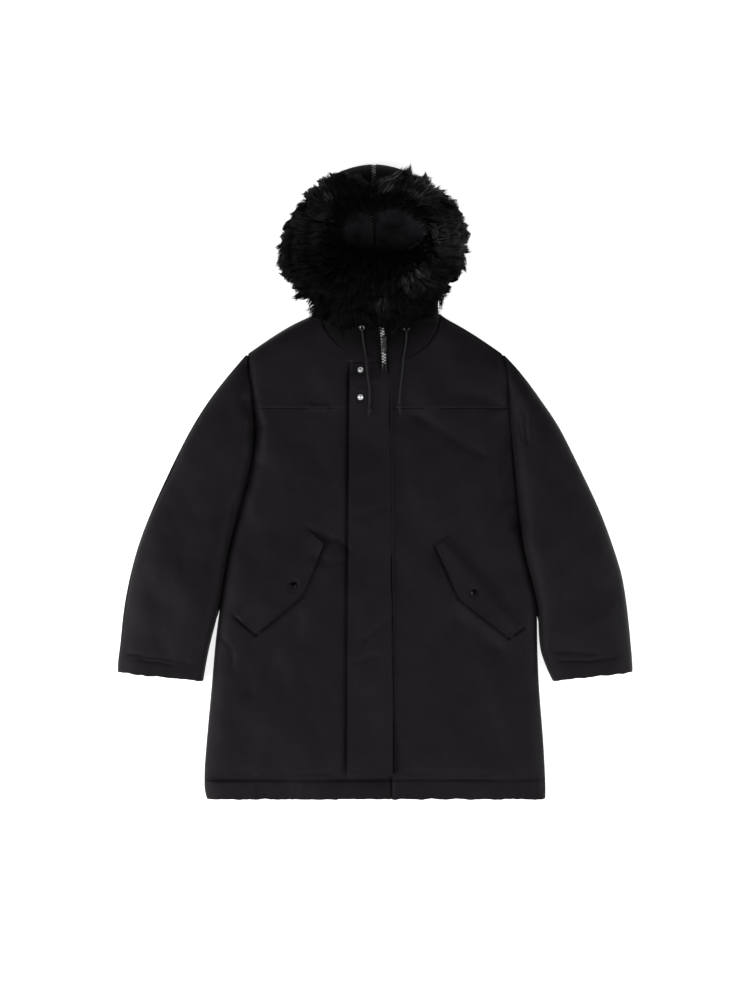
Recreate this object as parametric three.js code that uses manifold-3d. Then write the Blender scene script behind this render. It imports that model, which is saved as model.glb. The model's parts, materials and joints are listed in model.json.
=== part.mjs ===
// Padded parka laid flat on its back. Millimetres: +X to the picture's right, which is the
// wearer's left, +Y to the hood, +Z up from the table. "right" and "left" are the wearer's.
import * as THREE from "three";
import Module from "manifold-3d";

// Walls and heights
const PAD = 9; // padded wall of the body and sleeves
const HOOD_WALL = 6; // hood wall
const FLAP_WALL = 5; // wall of the storm flap and pocket flaps
const SEAM_GAP = 0.3; // between two pieces sewn to each other
const SEAM_Z = 14; // side and shoulder seams above the table
const BODY_TOP = 34; // top of the fronts above the table
const NECK_RISE = 8; // more height where the hood's layers meet at the neck
const NECK_SPREAD = 75; // how far that rise spreads
const UNDER_ROUND = 15; // rounding under the edges that rest on the table
const SHOULDER_ROUND = 42; // rounding over the shoulder seam

// Levels along the garment
const HEM_Y = -589;
const YOKE_Y = 136;
const SHOULDER_Y = 237;
const SLEEVE_TOP_Y = 234;
const CUFF_OUT_Y = -353.5;
const CUFF_IN_Y = -370;

// Levels that the fronts and sleeves share, so that their long seams run side by side
const SIDE_LEVELS = [
  118, 90, 55, 20, -15, -45, -75, -105, -130, -155, -180, -205, -232, -260, -285, -310, -340,
];
const HEM_LEVELS = [-370, -405, -440, -475, -510, -532, -546, -552, -558, -570, -586];
const YOKE_LEVELS = [153, 171, 188, 203, 216, 228, 234];
const HIDDEN_INSET = 1.2; // how much narrower the back is than the fronts over it

// Neck
const NECK_ANGLES = [0, 16, 32, 48, 64, 78, 90]; // degrees from the front to the shoulder seam
const NECK_X = 9.2;
const NECK_HALF = 111;
const NECK_Y = 311.7;
const NECK_FRONT_Y = 221;
const NECK_BACK_Y = 323;

// Turns a list of rows into objects with named columns.
function table(names, rows) {
  return rows.map((row) => Object.fromEntries(names.map((name, i) => [name, row[i]])));
}

// Half widths of the body, radius of its rounded sides, and height of its side edge, by level.
const SIDE = table(
  ["y", "right", "left", "roundRight", "roundLeft", "edge"],
  [
    [237, 235.5, 235.5, 30, 30, 15],
    [215, 236, 244, 30, 34, 24],
    [190, 231, 246.5, 24, 38, 25],
    [150, 226, 249.5, 18, 42, 20],
    [100, 223.5, 252.5, 17, 44, 15],
    [50, 226, 256.5, 18, 44, 14],
    [0, 236, 261, 22, 40, 14],
    [-60, 253, 267, 26, 34, 14],
    [-120, 269, 273.5, 28, 30, 14],
    [-180, 279, 288, 30, 28, 14],
    [-240, 289, 301, 30, 26, 14],
    [-300, 296.5, 301.5, 30, 28, 14],
    [-370, 302.5, 304, 30, 30, 14],
    [-480, 312.5, 312.5, 30, 30, 14],
    [-545, 317, 316, 30, 30, 14],
    [-578, 317, 317, 30, 30, 14],
    [-589, 312, 316.5, 30, 30, 14],
  ],
);

// Sleeves: room to the body's side, outer edge, and height of the top, by level.
const SLEEVE = table(
  ["y", "roomRight", "roomLeft", "outRight", "outLeft", "top"],
  [
    [237, 0.5, 0.5, 238, 238, 32],
    [215, 0.5, 0.5, 257, 259, 34],
    [190, 0.5, 0.5, 278, 280, 36],
    [150, 0.5, 0.5, 308.5, 309, 40],
    [100, 0.5, 0.5, 340.5, 343, 43],
    [50, 0.5, 0.5, 366.5, 368, 45],
    [0, 0.5, 0.5, 390.5, 392.5, 46],
    [-60, 0.5, 0.5, 417.5, 420, 47],
    [-120, 0.5, 0.5, 440, 442, 47],
    [-180, 0.6, 0.6, 456, 460, 46],
    [-240, 1.2, 1.2, 467, 469, 45],
    [-300, 9, 3, 473, 475, 43],
    [-345, 14, 15, 478, 478.5, 40],
    [-371, 16, 26, 478, 479, 38],
  ],
);

// Shoulder seam: level by distance from the middle.
const SHOULDER = table(
  ["out", "y"],
  [
    [101, 312],
    [120, 307],
    [160, 287.5],
    [203, 260],
    [236, 237],
  ],
);

// Rings of the hood from the neck seam to its rim: front, side and back points.
// A back point under the table is cut off at it, which gives the hood its flat underside.
const HOOD = table(
  ["v", "frontX", "frontY", "frontZ", "sideX", "sideY", "sideZ", "half", "backX", "backY", "backZ"],
  [
    [0.0, 16.6, 221, 42, 9.2, 311.7, 14, 110.2, 3, 323.6, -14],
    [0.14, 14.8, 262, 50, 5, 325, 24, 112, 0, 360, -16],
    [0.28, 10, 308, 56, 0, 352, 32, 119, -2.4, 408, -18],
    [0.42, 12, 354, 60, -3.7, 392, 36, 131, -2.4, 470, -18],
    [0.56, 13, 391, 62, -3.7, 437, 40, 140, -2.4, 530, -12],
    [0.68, 13, 406, 64, -3.7, 469, 44, 141, -2.4, 570, 3],
    [0.8, 13, 411, 66, -3.7, 485, 52, 127, -2.4, 589, 32],
    [0.9, 13, 413, 69, -3.7, 488, 63, 114, -2.4, 577, 60],
    [1.0, 13, 415, 71, -3.7, 480, 71, 100, -2.4, 530, 79],
  ],
);

// Fur ruff seen from above, by direction from its middle in degrees.
const RUFF_X = -3.7;
const RUFF_Y = 454;
const RUFF = table(
  ["angle", "inner", "outer", "low", "high"],
  [
    [0, 102, 178, 16, 104],
    [15, 96, 170, 18, 104],
    [30, 82, 156, 22, 103],
    [45, 68, 147, 24, 103],
    [65, 54, 136, 34, 102],
    [90, 45, 97, 50, 102],
    [115, 50, 130, 34, 102],
    [135, 60, 144, 24, 103],
    [155, 58, 150, 20, 104],
    [180, 58, 174, 16, 106],
    [203, 57, 188, 24, 106],
    [225, 55, 174, 34, 106],
    [270, 41, 176, 48, 99],
    [315, 62, 176, 34, 104],
    [340, 88, 182, 22, 104],
    [360, 102, 178, 16, 104],
  ],
);
const RUFF_TUFTS = 23; // locks that lie round the ring
const RUFF_TUFT_DEPTH = 0.035; // how far they stand out, as a part of the radius
const RUFF_SLIT = 3; // split of the ruff over the zip

// Largest folds of the cloth in plan: a line, its depth (up is positive) and its half width.
const FOLDS = table(
  ["x1", "y1", "x2", "y2", "depth", "width"],
  [
    [-126, -86, -81, -112, -4.5, 14],
    [-68, -108, -46, -128, -3.5, 12],
    [-75, -138, -50, -142, 3, 14],
    [-146, -251, -226, -382, -5.5, 24],
    [-255, -235, -150, -290, -3, 14],
    [-292, -280, -268, -345, -3, 9],
    [81, 121, 192, 51, -4.5, 17],
    [163, 169, 232, 141, -3.5, 15],
    [215, 150, 240, 60, -4, 16],
    [108, -130, 150, -262, -4, 16],
    [150, -262, 226, -310, -6, 22],
    [-17, -288, 30, -249, -3, 11],
    [-37, -332, 9, -321, -2.5, 10],
    [-120, -534, 28, -552, -4, 14],
    [-300, -543, -231, -541, -3, 12],
    [-60, 40, -30, -60, 2.5, 26],
    [120, -20, 190, -60, 2, 40],
    [-190, 60, -110, 20, 2, 40],
    [-457, -319, -346, -333, -3.5, 9],
    [329, -312, 409, -316, -4.5, 10],
    [342, -330, 444, -323, -2.5, 7],
    [-330, 60, -290, -20, -2.5, 22],
    [-430, -120, -330, -70, -3, 18],
    [-440, -215, -330, -190, 2.5, 24],
    [300, 120, 285, 40, -3, 11],
    [330, 20, 400, -40, -3, 20],
    [345, -150, 440, -200, -2.5, 20],
    [-450, -262, -400, -300, -3, 16],
  ],
);
const HEM_STITCH_Y = -552;
const HEM_STITCH_DEPTH = 2.4;
const HEM_STITCH_WIDTH = 5;

// Storm flap, sewn to the left front and lying over the zip
const FLY = {
  top: 218,
  bottom: -545,
  freeTop: -46.3,
  freeBottom: -51,
  sewnTop: 33,
  sewnBottom: 38.5,
};
const FLY_LIFT = 3.2;

// Front zip, from the hood's rim to just above the hem stitch
const ZIP_TOP_Y = 262;
const ZIP_TOP_X = 16.7;
const ZIP_BOTTOM_X = 30;
const ZIP_HALF = 4.2;
const ZIP_WALL = 1.9;
const ZIP_GAP = 0.6;
const ZIP_END_Y = -540;

// Pocket flaps: the sewn edge's two ends, how far the flap reaches from it at its start, middle
// and end, and the snap's place along and out from that edge
const POCKETS = table(
  ["name", "x1", "y1", "x2", "y2", "start", "middle", "end", "snap", "reach"],
  [
    ["right", -125, -88, -259, -249, 40, 71, 51, 0.46, 47],
    ["left", 139.5, -98, 280, -261, 34, 63, 41, 0.51, 39],
  ],
);
const POCKET_POINT = 0.46; // place of the flap's point along it
const POCKET_GAP = 0.5;

// Snaps, grommets, drawcords
const SNAP_RADIUS = 5.6;
const FLY_SNAPS = [206, 156];
const FLY_SNAP_X = -27;
const GROMMET_RADIUS = 5.4;
const GROMMET_HOLE = 2.3;
const CORD_RADIUS = 1.5;
const KNOT_RADIUS = 3.4;
const CORDS = [
  {
    name: "right",
    grommet: [-24, 284],
    x: [-24, -22.6, -20.9, -17.4, -15.6, -14.2, -10.6, -10, -10.8],
    y: [279.5, 268, 254, 236, 219, 200, 176, 150, 136],
  },
  {
    name: "left",
    grommet: [58, 282],
    x: [58, 58, 56.4, 53, 51.6, 49.8, 47, 45.4, 45],
    y: [277.5, 268, 250, 232, 214, 196, 172, 152, 142],
  },
];

const clamp = (value, low, high) => Math.min(Math.max(value, low), high);
const mix = (a, b, t) => a + (b - a) * t;
const smooth = (t) => {
  const c = clamp(t, 0, 1);
  return c * c * (3 - 2 * c);
};
const range = (count) => Array.from({ length: count }, (_, i) => i);
const point = (x, y, z) => new THREE.Vector3(x, y, z);

// Smooth value of a table's column at a value of its key column, with no overshoot.
function along(rows, key, name, value) {
  const last = rows.length - 1;
  const rising = rows[last][key] > rows[0][key];
  let i = 0;
  while (i < last - 1 && (rising ? value > rows[i + 1][key] : value < rows[i + 1][key])) i += 1;
  const secant = (k) => (rows[k + 1][name] - rows[k][name]) / (rows[k + 1][key] - rows[k][key]);
  const slope = (k) => {
    if (k === 0) return secant(0);
    if (k === last) return secant(last - 1);
    const before = secant(k - 1);
    const after = secant(k);
    return before * after <= 0 ? 0 : (2 * before * after) / (before + after);
  };
  const span = rows[i + 1][key] - rows[i][key];
  const t = clamp((value - rows[i][key]) / span, 0, 1);
  const t2 = t * t;
  const t3 = t2 * t;
  return (
    rows[i][name] * (2 * t3 - 3 * t2 + 1) +
    slope(i) * span * (t3 - 2 * t2 + t) +
    rows[i + 1][name] * (3 * t2 - 2 * t3) +
    slope(i + 1) * span * (t3 - t2)
  );
}

// Rise of a rounded edge, from 0 at the edge to 1 at its radius.
function rounded(distance, radius) {
  const t = clamp(distance / radius, 0, 1);
  return Math.sqrt(1 - (1 - t) * (1 - t));
}

const sideName = (sign) => (sign < 0 ? "right" : "left");
const bodyHalf = (y, sign) => along(SIDE, "y", sideName(sign), y);
const bodyRound = (y, sign) => along(SIDE, "y", sign < 0 ? "roundRight" : "roundLeft", y);
const bodyEdge = (y) => along(SIDE, "y", "edge", y);
const shoulderY = (out) => along(SHOULDER, "out", "y", out);
const zipX = (y) => mix(ZIP_TOP_X, ZIP_BOTTOM_X, (ZIP_TOP_Y - y) / (ZIP_TOP_Y - HEM_Y));

// Height that the folds add at a place in plan.
function folds(x, y) {
  let height = 0;
  for (const f of FOLDS) {
    const dx = f.x2 - f.x1;
    const dy = f.y2 - f.y1;
    const t = clamp(((x - f.x1) * dx + (y - f.y1) * dy) / (dx * dx + dy * dy), 0, 1);
    const away = Math.hypot(x - f.x1 - t * dx, y - f.y1 - t * dy) / f.width;
    height += f.depth * Math.exp(-away * away);
  }
  return height;
}

// Distance inside the shoulder seam.
function insideShoulder(x, y) {
  const out = Math.abs(x);
  const neckSide = NECK_HALF + NECK_X * Math.sign(x);
  const below = 0.87 * (shoulderY(out) - y);
  return Math.max(out < neckSide ? neckSide - out : 0, below, 0);
}

// Rise of the body's top over its edges: 0 at a side or shoulder edge, 1 inside.
function bodyRise(x, y) {
  const sign = x < 0 ? -1 : 1;
  const level = Math.min(y, SHOULDER_Y);
  return {
    side: rounded(Math.max(bodyHalf(level, sign) - Math.abs(x), 0), bodyRound(level, sign)),
    shoulder: rounded(insideShoulder(x, y), SHOULDER_ROUND),
  };
}

// Top of the fronts.
function bodyTop(x, y) {
  const { side, shoulder } = bodyRise(x, y);
  const nearNeck = Math.hypot(x - ZIP_TOP_X, y - NECK_FRONT_Y) / NECK_SPREAD;
  const stitch = (y - HEM_STITCH_Y) / HEM_STITCH_WIDTH;
  const level =
    BODY_TOP +
    NECK_RISE * Math.exp(-nearNeck * nearNeck) -
    HEM_STITCH_DEPTH * Math.exp(-stitch * stitch) -
    4 * smooth((-520 - y) / 65) +
    folds(x, y);
  const edge = bodyEdge(Math.min(y, SHOULDER_Y));
  const fromSide = mix(edge, level, side);
  return SEAM_Z + SEAM_GAP / 2 + (fromSide - SEAM_Z) * shoulder;
}

// Height at which cloth rests on the fronts: on the highest places near it.
function restOnBody(x, y, reach) {
  const offsets = [-reach, 0, reach];
  return Math.max(...offsets.flatMap((dx) => offsets.map((dy) => bodyTop(x + dx, y + dy))));
}

// Thickness vector of the fronts: down in the middle, inwards at the rounded edges.
function bodyInward(x, y) {
  const { side, shoulder } = bodyRise(x, y);
  const fromSide = Math.sqrt(1 - side * side) * (x < 0 ? 1 : -1);
  const fromShoulder = Math.sqrt(1 - shoulder * shoulder);
  return point(fromSide, -fromShoulder, -side * shoulder).setLength(PAD);
}

// Parts are closed meshes made from an outer grid and the same grid moved by its thickness.
function wall(us, vs, outer, inward) {
  const rows = vs.length;
  const columns = us.length;
  const positions = [];
  for (const face of [0, 1])
    for (const v of vs)
      for (const u of us) {
        const p = outer(u, v);
        if (face === 1) p.add(inward(u, v));
        positions.push(p.x, p.y, p.z);
      }
  const at = (face, i, j) => (face * rows + i) * columns + j;
  const index = [];
  const quad = (a, b, c, d) => index.push(a, b, c, a, c, d);
  for (const i of range(rows - 1))
    for (const j of range(columns - 1)) {
      quad(at(0, i, j), at(0, i, j + 1), at(0, i + 1, j + 1), at(0, i + 1, j));
      quad(at(1, i, j), at(1, i + 1, j), at(1, i + 1, j + 1), at(1, i, j + 1));
    }
  const r = rows - 1;
  const c = columns - 1;
  for (const j of range(c)) {
    quad(at(0, 0, j + 1), at(0, 0, j), at(1, 0, j), at(1, 0, j + 1));
    quad(at(0, r, j), at(0, r, j + 1), at(1, r, j + 1), at(1, r, j));
  }
  for (const i of range(r)) {
    quad(at(0, i, 0), at(0, i + 1, 0), at(1, i + 1, 0), at(1, i, 0));
    quad(at(0, i + 1, c), at(0, i, c), at(1, i, c), at(1, i + 1, c));
  }
  return closed(positions, index);
}

// Geometry from positions and an index, turned to face out.
function closed(positions, index) {
  let volume = 0;
  const corner = (i) => point(...positions.slice(3 * i, 3 * i + 3));
  for (let i = 0; i < index.length; i += 3) {
    const [a, b, c] = index.slice(i, i + 3).map(corner);
    volume += a.dot(b.cross(c));
  }
  if (volume < 0) index.reverse();
  const geometry = new THREE.BufferGeometry();
  geometry.setAttribute("position", new THREE.Float32BufferAttribute(positions, 3));
  geometry.setIndex(index);
  return geometry;
}

const CLOTH = new THREE.MeshStandardMaterial({ color: 0x1c1b1e, roughness: 0.85 });
const CORD_MATERIAL = new THREE.MeshStandardMaterial({ color: 0x111113, roughness: 0.8 });
const FUR = new THREE.MeshStandardMaterial({ color: 0x0b0b0c, roughness: 1 });
const SILVER = new THREE.MeshStandardMaterial({ color: 0xc9c9cc, roughness: 0.3, metalness: 1 });
const GUNMETAL = new THREE.MeshStandardMaterial({ color: 0x2a2a2d, roughness: 0.35, metalness: 1 });

const parka = new THREE.Group();

function add(name, geometry, material) {
  const mesh = new THREE.Mesh(geometry, material);
  mesh.name = name;
  parka.add(mesh);
  return mesh;
}

// Neck seam seen from above, for an angle from the front (0) over the side to the back (PI).
function neckPoint(angle, sign, grow) {
  const c = Math.cos(angle);
  const seamY = c > 0 ? NECK_FRONT_Y : NECK_BACK_Y;
  const middleX = c > 0 ? ZIP_TOP_X : 3;
  const x = mix(NECK_X, middleX, Math.abs(c)) + sign * (NECK_HALF + grow) * Math.sin(angle);
  return [x, mix(NECK_Y, seamY - grow, Math.abs(c))];
}

// Top edge of a front or of one half of the back: shoulder seam, then neck seam.
function topEdge(sign, neckAngles) {
  const neckSide = NECK_HALF + NECK_X * sign;
  const onShoulder = [235.5, 231, 224, 208, 182, 150, neckSide + 12];
  const shoulderPart = onShoulder.map((out) => [sign * out, shoulderY(out)]);
  return shoulderPart.concat(neckAngles.map((angle) => neckPoint(angle, sign, SEAM_GAP)));
}

// Yokes: ruled in plan from the yoke seam to the shoulder and neck seams.
function addYokes() {
  const neckAngles = [...NECK_ANGLES].reverse().map(THREE.MathUtils.degToRad);
  const shares = YOKE_LEVELS.map((y) => (y - YOKE_Y) / (SHOULDER_Y - YOKE_Y));
  for (const sign of [-1, 1]) {
    const top = topEdge(sign, neckAngles);
    const last = top.length - 1;
    const endX = (y) => zipX(y) + sign * SEAM_GAP;
    const place = (u, v) => {
      const [topX, topY] = top[u];
      const share = u === last ? 1 : (topX - sign * 235.5) / (endX(NECK_FRONT_Y) - sign * 235.5);
      const sideY = mix(YOKE_Y, SHOULDER_Y, v);
      const x = mix(sign * bodyHalf(sideY, sign), endX(mix(YOKE_Y, topY, v)), share);
      return [x, mix(YOKE_Y + SEAM_GAP / 2, topY, v)];
    };
    const outer = (u, v) => {
      const [x, y] = place(u, v);
      return point(x, y, bodyTop(x, y));
    };
    const inward = (u, v) => bodyInward(...place(u, v));
    add(`yoke_${sideName(sign)}`, wall(range(top.length), [0, ...shares, 1], outer, inward), CLOTH);
  }
}

// Fronts from the yoke seam to the hem, with close columns at the rounded side.
function addFronts() {
  const fromSide = [0, 0.008, 0.03, 0.07, 0.13, 0.22, 0.33, 0.45, 0.57, 0.69, 0.8, 0.9, 1];
  const ys = [YOKE_Y - SEAM_GAP / 2, ...SIDE_LEVELS, ...HEM_LEVELS, HEM_Y];
  for (const sign of [-1, 1]) {
    const place = (u, y) => mix(sign * bodyHalf(y, sign), zipX(y) + sign * SEAM_GAP, u);
    const outer = (u, y) => point(place(u, y), y, bodyTop(place(u, y), y));
    const inward = (u, y) => bodyInward(place(u, y), y);
    add(`front_${sideName(sign)}`, wall(fromSide, ys, outer, inward), CLOTH);
  }
}

// Back: flat on the table, turned up at the side and shoulder seams.
function addBack() {
  const neckAngles = [90, 112, 135, 158].map(THREE.MathUtils.degToRad);
  const top = topEdge(-1, neckAngles)
    .concat([neckPoint(Math.PI, 1, SEAM_GAP)])
    .concat(topEdge(1, neckAngles).reverse());
  const reachRight = top[0][0];
  const reachLeft = top[top.length - 1][0];
  const place = (u, v) => {
    const [topX, topY] = top[u];
    const share = (topX - reachRight) / (reachLeft - reachRight);
    const sideY = v > 0 ? mix(YOKE_Y, SHOULDER_Y, v) : mix(YOKE_Y, HEM_Y, -v);
    const x = mix(HIDDEN_INSET - bodyHalf(sideY, -1), bodyHalf(sideY, 1) - HIDDEN_INSET, share);
    return [x, v > 0 ? mix(YOKE_Y, topY - HIDDEN_INSET, v) : sideY];
  };
  const rise = (x, y) => {
    const sign = x < 0 ? -1 : 1;
    const half = bodyHalf(Math.min(y, SHOULDER_Y), sign) - HIDDEN_INSET;
    return {
      side: rounded(Math.max(half - Math.abs(x), 0), UNDER_ROUND),
      shoulder: rounded(insideShoulder(x, y + HIDDEN_INSET), UNDER_ROUND),
    };
  };
  const outer = (u, v) => {
    const [x, y] = place(u, v);
    const { side, shoulder } = rise(x, y);
    return point(x, y, (SEAM_Z - SEAM_GAP / 2) * (1 - side * shoulder));
  };
  const inward = (u, v) => {
    const [x, y] = place(u, v);
    const { side, shoulder } = rise(x, y);
    const fromSide = Math.sqrt(1 - side * side) * (x < 0 ? 1 : -1);
    return point(fromSide, -Math.sqrt(1 - shoulder * shoulder), side * shoulder).setLength(PAD);
  };
  const lower = [-1, -0.9, -0.8, -0.69, -0.58, -0.47, -0.37, -0.28, -0.19, -0.12, -0.06];
  const vs = lower.concat([0, 0.25, 0.5, 0.7, 0.85, 0.95, 1]);
  add("back", wall(range(top.length), vs, outer, inward), CLOTH);
}

const sleeveIn = (y, sign) =>
  bodyHalf(y, sign) + along(SLEEVE, "y", sign < 0 ? "roomRight" : "roomLeft", y);
const sleeveOut = (y, sign) => along(SLEEVE, "y", sign < 0 ? "outRight" : "outLeft", y);

// Place on a sleeve: u runs from the body to the outer edge, v from the shoulder to the cuff.
function sleevePlace(u, v, sign, inset = 0) {
  const cuffY = mix(CUFF_IN_Y, CUFF_OUT_Y, u);
  const y = mix(SLEEVE_TOP_Y, cuffY, v);
  const inner = sleeveIn(y, sign) + inset;
  const outer = sleeveOut(y, sign);
  const width = outer - inner;
  return { y, width, x: sign * mix(inner, outer, u), fromInner: width * u, fromOuter: width * (1 - u) };
}

// Sleeves of two walls each: an upper one over the arm and an under one on the table.
function addSleeves() {
  const across = [0, 0.02, 0.07, 0.16, 0.33, 0.5, 0.67, 0.83, 0.92, 0.975, 1];
  const shoulderLevels = [...YOKE_LEVELS].reverse().filter((y) => y <= SLEEVE_TOP_Y);
  const levels = [...shoulderLevels, YOKE_Y, ...SIDE_LEVELS, -325, -352, CUFF_IN_Y];
  const down = levels.sort((a, b) => b - a).map((y) => (SLEEVE_TOP_Y - y) / (SLEEVE_TOP_Y - CUFF_IN_Y));
  const acrossUnder = [0, 0.03, 0.1, 0.5, 0.9, 0.97, 1];
  const downUnder = [0, 0.05, 0.12, 0.2, 0.3, 0.4, 0.5, 0.6, 0.7, 0.8, 0.9, 1];
  for (const sign of [-1, 1]) {
    const rise = (u, v) => {
      const p = sleevePlace(u, v, sign);
      const inner = rounded(p.fromInner, Math.min(bodyRound(p.y, sign) * 1.1, p.width / 2));
      const outer = rounded(p.fromOuter * 0.92, Math.min(48, p.width / 2));
      return { ...p, inner, outer };
    };
    const wallOf = (width) => Math.min(PAD, 0.3 * width);
    const upper = (u, v) => {
      const p = rise(u, v);
      const top = along(SLEEVE, "y", "top", p.y) + folds(p.x, p.y);
      const low = mix(bodyEdge(p.y), SEAM_Z, smooth(u * 2));
      const narrow = smooth(p.width / 60);
      const height = mix(low, mix(low + 8, top, narrow), p.inner * p.outer);
      return point(p.x, p.y, height + SEAM_GAP / 2);
    };
    const upperInward = (u, v) => {
      const p = rise(u, v);
      const cross = (Math.sqrt(1 - p.inner ** 2) - Math.sqrt(1 - p.outer ** 2)) * sign;
      return point(cross, 0, -Math.max(p.inner * p.outer, 0.001)).setLength(wallOf(p.width));
    };
    const under = (u, v) => {
      const p = sleevePlace(u, v, sign, HIDDEN_INSET);
      const edge = Math.min(p.fromInner, p.fromOuter);
      const lift = 1 - rounded(edge, Math.min(UNDER_ROUND, p.width / 3));
      return point(p.x, p.y, (SEAM_Z - SEAM_GAP / 2) * lift);
    };
    const underInward = (u, v) => {
      const p = sleevePlace(u, v, sign, HIDDEN_INSET);
      const radius = Math.min(UNDER_ROUND, p.width / 3);
      const inner = Math.sqrt(1 - rounded(p.fromInner, radius) ** 2);
      const outer = Math.sqrt(1 - rounded(p.fromOuter, radius) ** 2);
      const up = rounded(Math.min(p.fromInner, p.fromOuter), radius);
      return point((inner - outer) * sign, 0, up).setLength(wallOf(p.width));
    };
    add(`sleeve_${sideName(sign)}_upper`, wall(across, down, upper, upperInward), CLOTH);
    add(`sleeve_${sideName(sign)}_under`, wall(acrossUnder, downUnder, under, underInward), CLOTH);
  }
}

// Point on the hood's outer face: angle 0 is the front, PI the back, positive to the left.
function hoodPoint(angle, v) {
  const get = (name) => along(HOOD, "v", name, v);
  const c = Math.cos(angle);
  const end = c > 0 ? "front" : "back";
  const t = Math.abs(c);
  const x = mix(get("sideX"), get(`${end}X`), t) + get("half") * Math.sin(angle);
  const y = mix(get("sideY"), get(`${end}Y`), t);
  const z = mix(get("sideZ"), get(`${end}Z`), t);
  if (c <= 0) return point(x, y, Math.max(z, 0));
  const [neckX, neckY] = neckPoint(Math.abs(angle), Math.sign(angle) || 1, SEAM_GAP);
  const atNeck = mix(SEAM_Z, HOOD[0].frontZ, t);
  return point(x, y, z + (bodyTop(neckX, neckY) - atNeck) * smooth(1 - v / 0.2));
}

// Normal of the hood's outer face.
function hoodNormal(angle, v) {
  const small = 0.004;
  const across = hoodPoint(angle + small, v).sub(hoodPoint(angle - small, v));
  const upper = Math.min(v + small, 1);
  const lower = Math.max(v - small, 0);
  return across.cross(hoodPoint(angle, upper).sub(hoodPoint(angle, lower))).normalize();
}

const HOOD_ZIP_START = 0.44;
const HOOD_ZIP_HALF = 3.7;
const hoodRows = [0, 0.06, 0.13, 0.21, 0.3, 0.42, 0.45, 0.53, 0.61, 0.68, 0.74, 0.8, 0.86, 0.93, 1];
const HOOD_ANGLES = [...NECK_ANGLES, 104, 118, 132, 146, 158, 170, 180].map(THREE.MathUtils.degToRad);

// Hood of two halves, which meet at the front zip and at the zip over the crown.
function addHood() {
  const half = (v) => along(HOOD, "v", "half", v);
  for (const sign of [-1, 1]) {
    const turn = (u, v) => {
      const backGap = v < HOOD_ZIP_START ? SEAM_GAP : HOOD_ZIP_HALF + SEAM_GAP;
      const first = Math.asin(SEAM_GAP / half(v));
      const last = Math.PI - Math.asin(backGap / half(v));
      return sign * clamp(u, first, last);
    };
    const outer = (u, v) => hoodPoint(turn(u, v), v);
    const inward = (u, v) => hoodNormal(turn(u, v), v).multiplyScalar(-HOOD_WALL);
    add(`hood_${sideName(sign)}`, wall(HOOD_ANGLES, hoodRows, outer, inward), CLOTH);
  }
  const zipPoint = (u, v, depth) => {
    const p = hoodPoint(Math.PI, v);
    p.x += u * HOOD_ZIP_HALF;
    return p.addScaledVector(hoodNormal(Math.PI, v), -depth);
  };
  const rows = hoodRows.filter((v) => v > HOOD_ZIP_START);
  const outer = (u, v) => zipPoint(u, v, 1);
  const inward = (u, v) => zipPoint(u, v, HOOD_WALL - 0.5).sub(outer(u, v));
  add("hood_zip", wall([-1, 0, 1], rows, outer, inward), GUNMETAL);
}

// Solids for cutting and joining.
const wasm = await Module();
wasm.setup();

function solid(geometry) {
  return new wasm.Manifold(
    new wasm.Mesh({
      numProp: 3,
      vertProperties: new Float32Array(geometry.getAttribute("position").array),
      triVerts: new Uint32Array(geometry.index.array),
    }),
  );
}

function geometryOf(made) {
  const mesh = made.getMesh();
  return closed(Array.from(mesh.vertProperties), Array.from(mesh.triVerts));
}

// The hood as a filled body, grown all round, which the ruff is cut to.
function hoodBody(grow) {
  const rightAngles = HOOD_ANGLES.slice(1, -1).map((angle) => -angle);
  const angles = [...HOOD_ANGLES, ...rightAngles.reverse()];
  const positions = [];
  const index = [];
  for (const v of hoodRows)
    for (const angle of angles) {
      const p = hoodPoint(angle, v).addScaledVector(hoodNormal(angle, v), grow);
      positions.push(p.x, p.y, p.z + (v === 1 ? grow : 0));
    }
  const n = angles.length;
  const last = hoodRows.length - 1;
  for (const i of range(last))
    for (const j of range(n)) {
      const k = (j + 1) % n;
      index.push(i * n + j, i * n + k, (i + 1) * n + k, i * n + j, (i + 1) * n + k, (i + 1) * n + j);
    }
  for (const row of [0, last]) {
    const middle = positions.length / 3;
    const ring = range(n).map((j) => positions.slice(3 * (row * n + j), 3 * (row * n + j) + 3));
    for (const axis of [0, 1, 2]) positions.push(ring.reduce((sum, p) => sum + p[axis], 0) / n);
    for (const j of range(n)) {
      const k = (j + 1) % n;
      if (row === 0) index.push(row * n + k, row * n + j, middle);
      else index.push(row * n + j, row * n + k, middle);
    }
  }
  return solid(closed(positions, index));
}

// A closed ring of sections, each a closed loop.
function ring(sections, sides, at) {
  const positions = [];
  const index = [];
  for (const i of range(sections))
    for (const j of range(sides)) {
      const p = at(i / sections, (j / sides) * 2 * Math.PI);
      positions.push(p.x, p.y, p.z);
    }
  for (const i of range(sections))
    for (const j of range(sides)) {
      const a = i * sides + j;
      const b = i * sides + ((j + 1) % sides);
      const c = ((i + 1) % sections) * sides + ((j + 1) % sides);
      const d = ((i + 1) % sections) * sides + j;
      index.push(a, b, c, a, c, d);
    }
  return closed(positions, index);
}

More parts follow.
